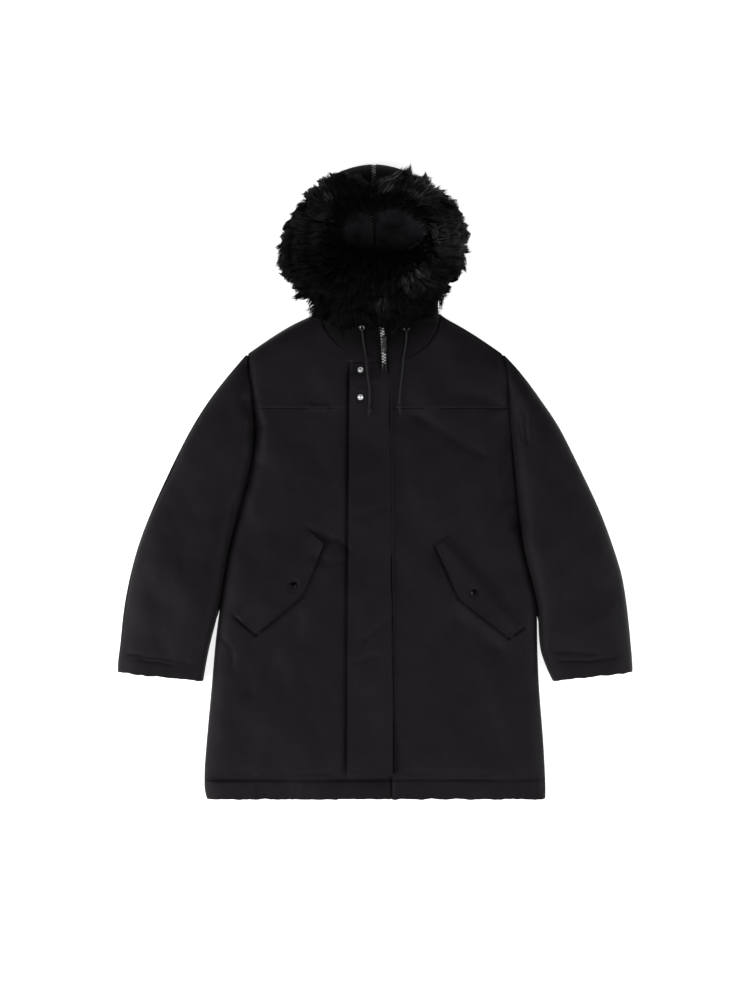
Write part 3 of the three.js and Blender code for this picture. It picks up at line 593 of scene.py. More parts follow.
# Small wrinkles in plan: a line, its depth (up is positive) and its half width, in metres
WRINKLES = [
    # x1, y1, x2, y2, depth, width
    (-0.116, 0.138, -0.092, 0.137, 0.0022, 0.0045),
    (0.2300, 0.2150, 0.2360, 0.1500, 0.0035, 0.007),
    (-0.237, 0.215, -0.231, 0.150, -0.0050, 0.007),
    (-0.231, 0.150, -0.222, 0.100, -0.0095, 0.012),
    (-0.222, 0.100, -0.227, 0.040, -0.0115, 0.014),
    (-0.227, 0.040, -0.240, 0.000, -0.0090, 0.012),
    (-0.240, 0.000, -0.262, -0.060, -0.0040, 0.007),
    (0.238, 0.105, 0.247, -0.030, -0.0075, 0.017),
    (0.247, -0.030, 0.264, -0.080, -0.0040, 0.013),
    (0.270, 0.114, 0.271, 0.080, -0.0013, 0.0035),
    (0.279, 0.122, 0.281, 0.072, -0.0017, 0.0035),
    (0.289, 0.110, 0.291, 0.086, -0.0010, 0.0035),
    (0.081, 0.121, 0.192, 0.051, -0.0022, 0.010),
    (0.163, 0.169, 0.232, 0.141, -0.0026, 0.012),
    (-0.126, -0.084, -0.082, -0.110, -0.0016, 0.007),
    (-0.122, -0.076, -0.084, -0.098, 0.0006, 0.009),
    (-0.070, -0.107, -0.048, -0.127, -0.0017, 0.007),
    (-0.110, -0.140, -0.062, -0.150, -0.0018, 0.009),
    (-0.146, -0.251, -0.226, -0.382, -0.0030, 0.014),
    (-0.292, -0.282, -0.268, -0.310, -0.0024, 0.005),
    (-0.268, -0.310, -0.266, -0.346, -0.0024, 0.005),
    (0.112, -0.130, 0.152, -0.250, -0.0020, 0.010),
    (0.152, -0.250, 0.226, -0.310, -0.0030, 0.013),
    (-0.017, -0.288, 0.024, -0.256, -0.0018, 0.006),
    (-0.037, -0.332, 0.006, -0.322, -0.0016, 0.006),
    (-0.030, -0.060, 0.018, -0.050, -0.0012, 0.010),
    (-0.457, -0.319, -0.346, -0.334, -0.0017, 0.0035),
    (-0.436, -0.328, -0.372, -0.339, -0.0012, 0.0035),
    (0.342, -0.330, 0.376, -0.334, -0.0017, 0.0035),
    (0.376, -0.334, 0.407, -0.330, -0.0017, 0.0035),
    (0.407, -0.330, 0.444, -0.323, -0.0017, 0.0035),
    (0.335, -0.312, 0.409, -0.316, -0.0016, 0.005),
    (-0.200, -0.540, -0.050, -0.544, -0.0024, 0.006),
    (0.060, -0.541, 0.210, -0.543, -0.0020, 0.006),
    (-0.300, -0.543, -0.231, -0.541, -0.0024, 0.008),
]


# Wrinkle depth in use, set once from the cloth's settings
SIZES_IN_USE = {"wrinkle": 0.0016}


def line_distance(x, y, x1, y1, x2, y2):
    dx, dy = x2 - x1, y2 - y1
    t = clamp(((x - x1) * dx + (y - y1) * dy) / (dx * dx + dy * dy))
    return math.hypot(x - x1 - t * dx, y - y1 - t * dy)


def puckers(x, y, line_y, wave, depth, reach):
    """Ripples that run off a stitched line and die out away from it."""
    away = abs(y - line_y) / reach
    if away > 3:
        return 0.0
    sway = noise.noise(Vector((x * 13, line_y * 7, 0.5)))
    strength = 0.5 + 1.1 * noise.noise(Vector((x * 6, line_y * 5, 3.5)))
    ripple = math.sin(x / wave * 2 * math.pi + 9 * sway)
    return depth * strength * math.exp(-away * away) * ripple


def relief(x, y):
    """Height that wrinkles add anywhere on the garment's top."""
    depth = SIZES_IN_USE["wrinkle"]
    deepest = 0.0
    highest = 0.0
    sway_x = x + 0.006 * noise.noise(Vector((x * 28, y * 28, 1.7)))
    sway_y = y + 0.006 * noise.noise(Vector((x * 28, y * 28, 6.3)))
    for x1, y1, x2, y2, rise, width in WRINKLES:
        away = line_distance(sway_x, sway_y, x1, y1, x2, y2) / width
        if away < 3:
            here = rise * math.exp(-away * away)
            deepest = min(deepest, here)
            highest = max(highest, here)
    height = (deepest + highest) * (0.9 + noise.noise(Vector((x * 20, y * 20, 3.9))))
    broad = noise.fractal(Vector((x * 9, y * 7, 1.7)), 1.0, 2.0, 3)
    slant = noise.noise(Vector(((x + 0.6 * y) * 16, (y - 0.6 * x) * 5, 4.2)))
    soft = noise.fractal(Vector((x * 3.1, y * 2.6, 7.7)), 1.0, 2.0, 2)
    height += depth * (2.8 * broad + 1.3 * slant + 4.0 * soft)
    sewn = (0.8 + noise.noise(Vector((x * 9, 0.0, 4.2)))) * mix(1.0, 0.6, smooth((x - 0.02) / 0.04))
    height -= 0.0028 * sewn * math.exp(-(((y - HEM_STITCH_Y) / 0.0030) ** 2))
    height += puckers(x, y, HEM_STITCH_Y - 0.008, 0.016, 0.0008, 0.011)
    height += puckers(x, y, HEM_Y, 0.021, 0.0010, 0.012)
    return height


# Grooves that the free edges of the flaps and the hem's split press into the fronts: lines in plan
EDGE_GROOVES = [
    (0.1130, -0.1195, 0.1557, -0.2150),
    (0.1557, -0.2150, 0.2487, -0.2890),
    (0.2487, -0.2890, 0.2760, -0.2700),
    (-0.1310, -0.2090, -0.2198, -0.2830),
    (-0.2198, -0.2830, -0.2600, -0.2500),
    (-0.0470, 0.2200, -0.0520, -0.5450),
    (0.0305, -0.5500, 0.0305, -0.5890),
]
GROOVE_DEPTH = 0.0042
GROOVE_WIDTH = 0.0029


def front_relief(x, y):
    """Wrinkles of the fronts, with the grooves along the flaps."""
    height = relief(x, y)
    for groove in EDGE_GROOVES:
        away = line_distance(x, y, *groove) / GROOVE_WIDTH
        if away < 3:
            height -= GROOVE_DEPTH * math.exp(-away * away)
    return height


def cloth_piece(node, name, levels, crease=0.75, rise=relief, top_only=0.008, seams=None):
    """A cloth panel: the CAD wall, rounded, with the small wrinkles moved into its points."""
    piece = quad_copy(node, name)
    crease_rims(piece, math.radians(50), crease, seams)
    subdivide(piece, levels)
    if rise:
        for vertex in piece.data.vertices:
            x, y, z = vertex.co
            share = smooth((z - top_only) / 0.012)
            if share > 0:
                vertex.co.z = z + share * rise(x, y)
    shade_smooth(piece, 60)
    return piece


def uneven_edge(piece, edge_y, reach):
    """Small waves in plan along a hem or cuff."""
    for vertex in piece.data.vertices:
        x, y, _ = vertex.co
        share = smooth((edge_y + reach - y) / reach)
        if share > 0:
            long_wave = noise.noise(Vector((x * 42, 0.0, 6.1)))
            short_wave = noise.noise(Vector((x * 110, 0.0, 2.3)))
            vertex.co.y = y + 0.0019 * share * (long_wave + 0.6 * short_wave)


def lap(piece, under, way, reach=0.0012, over=0.0012, lift=-0.00015):
    """Lays a seam's rim over the piece that it is sewn to, so that no gap stays open."""
    for vertex in piece.data.vertices:
        _, _, _, distance = under.find_nearest(vertex.co)
        if distance < reach:
            vertex.co += way(vertex.co) * (distance + over) + Vector((0, 0, lift))


# What each piece was cut to before sewing, in metres and square metres
CUTS = {
    # node: (width, length, area)
    "back": (0.66, 0.83, 0.50),
    "front_right": (0.345, 0.73, 0.232),
    "front_left": (0.31, 0.73, 0.203),
    "yoke_right": (0.25, 0.19, 0.0345),
    "yoke_left": (0.235, 0.18, 0.0305),
    "sleeve_right_upper": (0.21, 0.64, 0.100),
    "sleeve_right_under": (0.19, 0.62, 0.090),
    "sleeve_left_upper": (0.20, 0.63, 0.092),
    "sleeve_left_under": (0.18, 0.61, 0.083),
    "hood_right": (0.33, 0.37, 0.077),
    "hood_left": (0.32, 0.37, 0.073),
    "fly_flap": (0.09, 0.77, 0.068),
    "pocket_flap_right": (0.065, 0.22, 0.0132),
    "pocket_flap_left": (0.065, 0.215, 0.0120),
}


def as_cloth(node):
    """Reads a piece's cut from the table; nothing is done with it."""
    width, length, area = CUTS[node]


# Operators: the stage first, then the pieces from the table upwards


class PARKA_OT_stage(bpy.types.Operator):
    """Floor, lights and the camera that looks straight down"""

    bl_idname = "parka.stage"
    bl_label = "Stage"

    def execute(self, context):
        stage = settings("stage")
        scene = context.scene
        deselect()
        bpy.ops.mesh.primitive_plane_add(size=14, location=(0, 0, 0))
        floor = context.object
        floor.name = "floor"
        s = Shader("floor_paper")
        place = s.place()
        tone = s.noise(place, 2.0, 2.0)
        shade = s.ramp(tone, [(0.3, scaled(stage.floor, 0.99)), (0.7, stage.floor)])
        s.link(shade, s.surface.inputs["Base Color"])
        set_inputs(s.surface, Roughness=0.9, Emission_Strength=stage.glow)
        s.surface.inputs["Emission Color"].default_value = (1, 1, 1, 1)
        s.surface.inputs["Specular IOR Level"].default_value = 0.1
        floor.data.materials.append(s.material)
        self.add_lights(stage)
        self.add_camera(scene)
        scene.view_settings.view_transform = "Standard"
        return {"FINISHED"}

    def add_lights(self, stage):
        lights = [
            ("side_right", (-2.0, -0.75, 1.35), 1.9, stage.side_light * 1.3),
            ("side_left", (2.0, -0.75, 1.35), 1.9, stage.side_light * 0.76),
            ("front", (0.2, -2.4, 1.5), 1.9, stage.front_light),
        ]
        for name, place, size, power in lights:
            bpy.ops.object.light_add(type="AREA", location=place)
            light = bpy.context.object
            light.name = name
            light.data.size = size
            light.data.energy = power
            aim = Vector((0, -0.05, 0)) - Vector(place)
            light.rotation_euler = aim.to_track_quat("-Z", "Y").to_euler()
        world = bpy.data.worlds.new("room")
        bpy.context.scene.world = world
        world.use_nodes = True
        world.node_tree.nodes["Background"].inputs["Color"].default_value = (1, 1, 1, 1)
        world.node_tree.nodes["Background"].inputs["Strength"].default_value = stage.sky

    def add_camera(self, scene):
        bpy.ops.object.camera_add(location=(VIEW_X, VIEW_Y, CAMERA_HEIGHT), rotation=(0, 0, 0))
        camera = bpy.context.object
        camera.name = "camera_above"
        camera.data.sensor_fit = "VERTICAL"
        half = FRAME_HEIGHT * PIXEL / 2
        camera.data.angle = 2 * math.atan(half / (CAMERA_HEIGHT - CLOTH_HEIGHT))
        camera.data.clip_end = 50
        scene.camera = camera


class PARKA_OT_body(bpy.types.Operator):
    """Back, fronts and yokes"""

    bl_idname = "parka.body"
    bl_label = "Body panels"

    def execute(self, context):
        levels = settings("cloth").smoothing
        for node in ("back", "front_right", "front_left", "yoke_right", "yoke_left"):
            back = node == "back"
            seams = None if back else self.is_seam
            count = 2 if back else levels
            rise = None if back else front_relief
            piece = cloth_piece(node, node + "_cloth", count, 0.85, rise, 0.012, seams)
            uneven_edge(piece, HEM_Y, 0.025)
            if node.startswith("yoke"):
                front = bpy.data.objects[node.replace("yoke", "front") + "_cloth"]
                lap(piece, tree_of(front), lambda place: Vector((0, -1, 0)))
            dress(piece, finish_of("shell"), GARMENT, "shell_cloth", [node])
            as_cloth(node)
        return {"FINISHED"}

    @staticmethod
    def is_seam(middle):
        """Yoke seam, neck seam, the edges along the zip and the left armhole."""
        armhole = middle.x > 0.2 and middle.y > -0.08
        return middle.y > YOKE_Y - 0.002 or abs(middle.x - 0.022) < 0.012 or armhole


class PARKA_OT_sleeves(bpy.types.Operator):
    """Upper and under walls of both sleeves"""

    bl_idname = "parka.sleeves"
    bl_label = "Sleeves"

    def execute(self, context):
        levels = settings("cloth").smoothing
        for side in ("right", "left"):
            for wall, count in (("under", 2), ("upper", levels)):
                node = f"sleeve_{side}_{wall}"
                rise = sleeve_relief if wall == "upper" else None
                piece = cloth_piece(node, node + "_cloth", count, 0.8, rise, 0.014, self.is_seam)
                uneven_edge(piece, CUFF_Y, 0.025)
                if wall == "under":
                    self.close_armhole(piece, node)
                else:
                    body = [bpy.data.objects[f"{n}_{side}_cloth"] for n in ("front", "yoke")]
                    inward = Vector((1 if side == "right" else -1, 0, 0))
                    lap(piece, tree_of(*body), lambda place: inward)
                dress(piece, finish_of("shell"), GARMENT, "shell_cloth", [node])
                as_cloth(node)
        return {"FINISHED"}

    @staticmethod
    def is_seam(middle):
        """The left armhole, which shows no shadow of its own."""
        return 0.2 < middle.x < 0.27 and middle.y > -0.08

    def close_armhole(self, piece, node):
        """Tucks the under wall's inner edge below the body, down to where the sleeve comes free."""
        tree = tree_of(NODES[node])
        sign = 1 if "left" in node else -1
        for vertex in piece.data.vertices:
            x, y, _ = vertex.co
            inner, _, _, _ = tree.ray_cast(Vector((0, y, 0.0095)), Vector((sign, 0, 0)))
            if inner is None:
                continue
            joined = smooth((y + 0.265) / 0.03)
            near = smooth((abs(inner.x) + 0.012 - abs(x)) / 0.012)
            vertex.co.x = x - sign * 0.004 * near * joined


def sleeve_relief(x, y):
    """Wrinkles of the sleeves: the garment's own, and soft folds across the arm."""
    out = abs(x)
    across = noise.noise(Vector((out * 7 + y * 3, (y * 0.8 - out * 0.35) * 17, 9.0)))
    return relief(x, y) + 0.0022 * across


class PARKA_OT_hood(bpy.types.Operator):
    """Both halves of the hood"""

    bl_idname = "parka.hood"
    bl_label = "Hood"

    def execute(self, context):
        yokes = tree_of(*(bpy.data.objects[f"yoke_{side}_cloth"] for side in ("right", "left")))
        for side in ("right", "left"):
            node = f"hood_{side}"
            piece = cloth_piece(node, node + "_cloth", 2, 0.75, hood_relief, 0.03, self.is_seam)
            lap(piece, yokes, self.way_out)
            dress(piece, finish_of("hood"), GARMENT, "shell_cloth", [node])
            self.line(piece)
            as_cloth(node)
        return {"FINISHED"}

    @staticmethod
    def is_seam(middle):
        """The neck seam."""
        return middle.y < 0.32 and middle.z < 0.055

    @staticmethod
    def line(piece):
        """Gives the hood's inner faces the lining."""
        piece.data.materials.append(finish_of("lining"))
        for polygon in piece.data.polygons:
            inward = Vector((-0.002, clamp(polygon.center.y, 0.40, 0.50), 0.04)) - polygon.center
            if polygon.center.y > 0.38 and polygon.normal.dot(inward) > 0:
                polygon.material_index = 1

    @staticmethod
    def way_out(place):
        """Direction away from the middle of the neck."""
        return (Vector((place.x - 0.017, place.y - 0.32, 0))).normalized()


def hood_relief(x, y):
    return 0.0012 * noise.noise(Vector((x * 22, y * 14, 2.2))) * smooth((y - 0.24) / 0.05)


class PARKA_OT_flaps(bpy.types.Operator):
    """Storm flap and pocket flaps"""

    bl_idname = "parka.flaps"
    bl_label = "Flaps"

    def execute(self, context):
        fronts = tree_of(
            *(bpy.data.objects[n] for n in ("front_right_cloth", "front_left_cloth")),
            *(bpy.data.objects[n] for n in ("yoke_right_cloth", "yoke_left_cloth")),
            NODES["front_zip"],
        )
        for node in ("fly_flap", "pocket_flap_right", "pocket_flap_left"):
            levels = 3 if node == "fly_flap" else 2
            piece = cloth_piece(node, node + "_cloth", levels, 0.7, flap_relief)
            self.lay_down(piece, node, fronts)
            dress(piece, finish_of("shell"), GARMENT, "shell_cloth", [node])
            as_cloth(node)
        return {"FINISHED"}

    def lay_down(self, piece, node, fronts):
        """Thins a flap towards the edge that it is sewn on by."""
        for vertex in piece.data.vertices:
            x, y, z = vertex.co
            hit, _ = drop_on(fronts, x, y)
            if hit is None:
                continue
            share = self.thickness(node, x, y)
            vertex.co.z = mix(hit.z + 0.0004, z, share) if z > hit.z else z

    def thickness(self, node, x, y):
        if node == "fly_flap":
            down = (FLY_TOP - y) / (FLY_TOP - FLY_BOTTOM)
            sewn = mix(*FLY_SEWN, down)
            from_sewn = smooth((sewn - x) / 0.012)
            from_top = smooth((FLY_TOP - y) / 0.034)
            return mix(0.10, 1, from_sewn) * mix(0.22, 1, from_top)
        x1, y1, x2, y2 = SEWN_EDGES[node]
        return mix(0.05, 1.2, smooth(line_distance(x, y, x1, y1, x2, y2) / 0.024))


def middle_of(node):
    """Middle of a CAD node in plan."""
    low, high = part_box(node)
    return (low[0] + high[0]) / 2, (low[1] + high[1]) / 2


SNAPS = [
    middle_of(node)
    for node in ("fly_snap_1", "fly_snap_2", "pocket_snap_right", "pocket_snap_left")
]


def flap_relief(x, y):
    """Wrinkles of the flaps, with the ring that each snap presses in."""
    height = relief(x, y)
    for snap_x, snap_y in SNAPS:
        away = math.hypot(x - snap_x, y - snap_y)
        height -= 0.0022 * math.exp(-(((away - 0.0062) / 0.0028) ** 2))
    return height


# Edge that each pocket flap is sewn on by, in plan
SEWN_EDGES = {
    "pocket_flap_right": (-0.125, -0.088, -0.259, -0.249),
    "pocket_flap_left": (0.1395, -0.098, 0.280, -0.261),
}


# Fur ruff


# Tufts of the ruff that shine and carry a painted highlight in their base colour, in plan, in metres
GLOSS_AND_HIGHLIGHT = [
    # x, y, radius, strength
    (0.020, 0.553, 0.020, 1.0),
    (0.0925, 0.547, 0.027, 1.0),
    (-0.099, 0.535, 0.018, 0.7),
    (-0.0925, 0.469, 0.028, 0.5),
    (0.122, 0.447, 0.034, 0.9),
    (0.076, 0.382, 0.022, 1.0),
    (0.015, 0.327, 0.015, 0.4),
]
OPENING_MIDDLE = Vector((-0.0037, 0.454, 0.0))
SLIT_X = 0.013
FUR_SEED = 3


class PARKA_OT_ruff(bpy.types.Operator):
    """Fur ruff: an under layer and four bunches of locks"""

    bl_idname = "parka.ruff"
    bl_label = "Fur ruff"

    def execute(self, context):
        fur = settings("fur")
        noise.seed_set(FUR_SEED)
        self.form = tree_of(NODES["ruff"])
        self.hood = tree_of(NODES["hood_right"], NODES["hood_left"])
        cloths = ("hood_right", "hood_left", "yoke_right", "yoke_left")
        self.ground = tree_of(*(bpy.data.objects[n + "_cloth"] for n in cloths))
        core = self.add_core()
        dress(core, finish_of("underfur"), GARMENT, "fur", ["ruff"])
        faces = self.open_faces()
        guides = self.add_guides(faces, fur)
        seeds = [11, 23, 37, 51]
        for i, seed in enumerate(seeds):
            count = fur.locks // len(seeds)
            piece = self.add_locks(f"ruff_fur_{i + 1}", faces, guides, count, seed, fur)
            dress(piece, finish_of("fur"), GARMENT, "fur")
        return {"FINISHED"}

    def add_core(self):
        """The ruff's form, drawn in under the locks where nothing touches it."""
        piece = quad_copy("ruff", "ruff_core")
        subdivide(piece, 1)
        normals = [v.normal.copy() for v in piece.data.vertices]
        for vertex, normal in zip(piece.data.vertices, normals):
            seat = self.hood.find_nearest(vertex.co)
            free = smooth((seat[3] - 0.003) / 0.012)
            behind = self.form.ray_cast(vertex.co - normal * 0.001, -normal)
            room = behind[3] if behind[0] else 0.03
            depth = min(0.011, room * 0.4)
            vertex.co -= normal * (depth * free)
        shade_smooth(piece, 80)
        return piece

    def open_faces(self):
        """Corners, normal and area of the faces that fur grows from."""
        mesh = NODES["ruff"].data
        mesh.calc_loop_triangles()
        faces = []
        for triangle in mesh.loop_triangles:
            corners = [mesh.vertices[i].co for i in triangle.vertices]
            middle = sum(corners, Vector()) / 3
            normal = triangle.normal
            in_slit = abs(middle.x - SLIT_X) < 0.003 and abs(normal.x) > 0.8
            on_hood = self.hood.find_nearest(middle)[3] < 0.004
            if not in_slit and not on_hood:
                faces.append((corners, normal.copy(), triangle.area))
        return faces

    def chosen_places(self, faces, count, draw):
        """Random places on the faces, with their normals."""
        places = []
        for corners, normal, _ in draw.choices(faces, weights=[f[2] for f in faces], k=count):
            a, b = draw.random(), draw.random()
            if a + b > 1:
                a, b = 1 - a, 1 - b
            place = corners[0] + (corners[1] - corners[0]) * a + (corners[2] - corners[0]) * b
            places.append((place, normal))
        return places

    def add_guides(self, faces, fur):
        """Tufts that the locks gather to: where each is rooted and where it ends."""
        draw = random.Random(5)
        guides = []
        for place, normal in self.chosen_places(faces, fur.tufts, draw):
            reach = draw.choice((0.005, 0.009, 0.014, 0.019))
            guides.append((place, self.lock_path(place, normal, draw, fur, reach)[2]))
        tree = KDTree(len(guides))
        for i, (place, _) in enumerate(guides):
            tree.insert(place, i)
        tree.balance()
        return guides, tree

    def add_locks(self, name, faces, guides, count, seed, fur):
        """Tapered, bent locks with three sides, rooted under the ruff's form."""
        draw = random.Random(seed)
        verts = []
        loops = []
        gloss_and_highlight = []
        tips, tree = guides
        for place, normal in self.chosen_places(faces, count, draw):
            root, middle, tip = self.lock_path(place, normal, draw, fur, draw.uniform(0, 0.005))
            _, nearest, _ = tree.find(place)
            share = draw.uniform(0.4, 0.92)
            tip = tip.lerp(tips[nearest][1], share)
            middle = middle.lerp((root + tips[nearest][1]) / 2 + normal * 0.006, share * 0.5)
            self.add_lock(verts, loops, (root, middle, tip), normal, draw, fur)
            gloss_and_highlight.append(self.gloss_and_highlight_at(place, draw))
        for place, normal, path in self.rim_locks(count // 9, draw, fur):
            self.add_lock(verts, loops, path, normal, draw, fur)
            gloss_and_highlight.append(0.0)
        mesh = bpy.data.meshes.new(name)
        mesh.from_pydata(verts, [], loops)
        piece = new_object(name, mesh)
        for polygon in mesh.polygons:
            polygon.use_smooth = True
        layer = mesh.attributes.new("gloss_and_highlight", "FLOAT", "POINT")
        points_a_lock = len(verts) // len(gloss_and_highlight)
        layer.data.foreach_set("value", [g for g in gloss_and_highlight for _ in range(points_a_lock)])
        return piece

    @staticmethod
    def gloss_and_highlight_at(place, draw):
        """How much a lock shines and is lightened by painted highlight: little, and more in some
        tufts.
        """
        shine = 0.10 * draw.random() ** 3
        for x, y, radius, strength in GLOSS_AND_HIGHLIGHT:
            away = math.hypot(place.x - x, place.y - y) / radius
            if away < 2.5:
                shine += 1.25 * strength * math.exp(-away * away) * draw.uniform(0.1, 1.0) ** 1.5
        return min(shine, 1.0)

    def rim_locks(self, count, draw, fur):
        """Locks round the face opening that lean in over the hood's edge."""
        for _ in range(count):
            turn = draw.uniform(0, 2 * math.pi)
            away = Vector((math.cos(turn), math.sin(turn), 0))
            height = Vector((0, 0, draw.uniform(0.058, 0.1)))
            hit, _, _, _ = self.form.ray_cast(OPENING_MIDDLE + height, away)
            if hit is None or (hit - OPENING_MIDDLE).xy.length > 0.11:
                continue
            side = away.cross(Vector((0, 0, 1)))
            lean = side * draw.gauss(0, 0.35) - away * 0.8 + Vector((0, 0, draw.uniform(-0.1, 0.5)))
            length = fur.length * draw.uniform(0.3, 0.62) * mix(1.0, 1.45, smooth(-away.y))
            root = hit + away * 0.006
            middle = root + lean.normalized() * (length * 0.55) + Vector((0, 0, 0.002))
            tip = root + lean.normalized() * length - Vector((0, 0, length * 0.35))
            yield hit, Vector((0, 0, 1)), (root, middle, tip)

    def lock_path(self, place, normal, draw, fur, reach):
        """Root, middle and tip of a lock that is combed outwards from the opening."""
        away = place - OPENING_MIDDLE
        away.z = 0
        away.normalize()
        comb = away - normal * away.dot(normal)
        facing_in = smooth((-normal.dot(away) - 0.15) / 0.5)
        bunch = noise.noise_vector(Vector((place.x * 24, place.y * 24, place.z * 24)))
        small = noise.noise_vector(Vector((place.x * 75, place.y * 75, place.z * 75 + 5)))
        around = normal.cross(comb if comb.length > 0.05 else Vector((0, 0, 1))).normalized()
        swirl = 1.1 * bunch.x + 0.55 * small.x + draw.gauss(0, 0.16)
        lift = 0.42 + 0.35 * bunch.y + 0.2 * small.y
        direction = comb * (1 - 0.8 * facing_in) + around * swirl + normal * (lift + 0.9 * facing_in)
        direction.normalize()
        length = fur.length * (0.74 + 0.25 * bunch.z + draw.uniform(-0.25, 0.25))
        length *= mix(1.0, 0.62, facing_in)
        at_neck = smooth((0.365 - place.y) / 0.05) * smooth((abs(place.x) - 0.02) / 0.03)
        length *= 1 + 0.55 * at_neck
        reach += 0.018 * at_neck
        root = place - normal * 0.009 - comb * (length * 0.35)
        droop = Vector((0, 0, -0.3 - 0.2 * draw.random())) - normal * (0.32 * (1 - facing_in))
        for _ in range(6):
            tip = root + direction * length + droop * (length * 0.45)
            near, out, _, away_from = self.form.find_nearest(tip)
            if (tip - near).dot(out) < 0 or away_from < reach:
                break
            length *= 0.84
        middle = root + direction * (length * 0.55) + droop * (length * 0.08)
        cloth, _ = drop_on(self.ground, tip.x, tip.y)
        if cloth:
            tip.z = max(tip.z, cloth.z + 0.002)
        return root, middle, tip

    def add_lock(self, verts, loops, path, normal, draw, fur):
        root, middle, tip = path
        side = (tip - root).cross(normal).normalized()
        width = fur.width * draw.uniform(0.55, 1.1)
        base = len(verts)
        rings = [(0.0, 0.7), (0.35, 1.0), (0.7, 0.6)]
        for share, girth in rings:
            centre = root.lerp(middle, share).lerp(middle.lerp(tip, share), share)
            for k in range(3):
                turned = k / 3 * 2 * math.pi
                offset = side * math.cos(turned) + normal * (math.sin(turned) * 0.6)
                verts.append(self.over_table(centre + offset * (width * girth / 2)))
        verts.append(self.over_table(tip.copy()))
        loops.append((base, base + 2, base + 1))
        for ring in range(len(rings) - 1):
            for k in range(3):
                a = base + ring * 3 + k
                b = base + ring * 3 + (k + 1) % 3
                loops.append((a, b, b + 3, a + 3))
        last = base + 3 * (len(rings) - 1)
        for k in range(3):
            loops.append((last + k, last + (k + 1) % 3, last + 3))

    @staticmethod
    def over_table(place):
        place.z = max(place.z, 0.0015)
        return place


# Zips


def zip_spine():
    """Middle line of the front zip from the hood's rim to the hem, on the CAD strip's top."""
    tree = tree_of(NODES["front_zip"])
    low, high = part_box("front_zip")
    spine = []
    steps = 480
    for i in range(steps + 1):
        y = mix(high[1] - 0.0005, low[1] + 0.0005, i / steps)
        hits = []
        x = low[0]
        while x <= high[0]:
            hit, _ = drop_on(tree, x, y)
            if hit:
                hits.append(hit)
            x += 0.0004
        if hits:
            middle = (hits[0].x + hits[-1].x) / 2
            spine.append(Vector((middle, y, sum(h.z for h in hits) / len(hits))))
    return spine


def at_length(spine, distance):
    """Point and direction at a distance along a line of points."""
    for a, b in zip(spine, spine[1:]):
        step = (b - a).length
        if distance <= step:
            return a.lerp(b, distance / step), (b - a).normalized()
        distance -= step
    return spine[-1].copy(), (spine[-1] - spine[-2]).normalized()


def line_length(spine):
    return sum((b - a).length for a, b in zip(spine, spine[1:]))


def strip_mesh(name, spine, half, thickness, sink):
    """Flat closed strip along a line, its top sunk a little under the line."""
    verts = []
    faces = []
    for p in spine:
        for side, z in ((-1, -sink), (1, -sink), (1, -sink - thickness), (-1, -sink - thickness)):
            verts.append((p.x + side * half, p.y, p.z + z))
    last = len(spine) - 1
    for i in range(last):
        for k in range(4):
            a, b = 4 * i + k, 4 * i + (k + 1) % 4
            faces.append((a, a + 4, b + 4, b))
    faces.append((0, 1, 2, 3))
    faces.append((4 * last + 3, 4 * last + 2, 4 * last + 1, 4 * last))
    mesh = bpy.data.meshes.new(name)
    mesh.from_pydata(verts, [], faces)
    piece = new_object(name, mesh)
    recalculate(piece)
    return piece


def recalculate(piece):
    make_active(piece)
    bpy.ops.object.mode_set(mode="EDIT")
    bpy.ops.mesh.select_all(action="SELECT")
    bpy.ops.mesh.normals_make_consistent(inside=False)
    bpy.ops.object.mode_set(mode="OBJECT")


def tooth_template():
    """One zip tooth, modelled from a cube and bevelled."""
    deselect()
    bpy.ops.mesh.primitive_cube_add(size=1)
    tooth = bpy.context.object
    bpy.ops.object.mode_set(mode="EDIT")
    bpy.ops.mesh.select_all(action="SELECT")
    bpy.ops.transform.resize(value=(0.0039, 0.0017, 0.0021))
    bpy.ops.mesh.bevel(offset=0.0003, segments=1)
    bpy.ops.object.mode_set(mode="OBJECT")
    return tooth


def copies_of(name, template, places):
    """One mesh of many copies of a template, each moved by its own matrix."""
    source = template.data
    points = [v.co.copy() for v in source.vertices]
    loops = [tuple(p.vertices) for p in source.polygons]
    verts = []
    faces = []
    for matrix in places:
        base = len(verts)
        verts.extend(matrix @ p for p in points)
        faces.extend(tuple(base + i for i in loop) for loop in loops)
    mesh = bpy.data.meshes.new(name)
    mesh.from_pydata(verts, [], faces)
    return new_object(name, mesh)


def frame_matrix(place, along, up):
    """Matrix whose Y runs along a line and whose Z stands up from the surface."""
    y = along.normalized()
    x = y.cross(up).normalized()
    z = x.cross(y)
    turn = Matrix((x, y, z)).transposed().to_4x4()
    return Matrix.Translation(place) @ turn


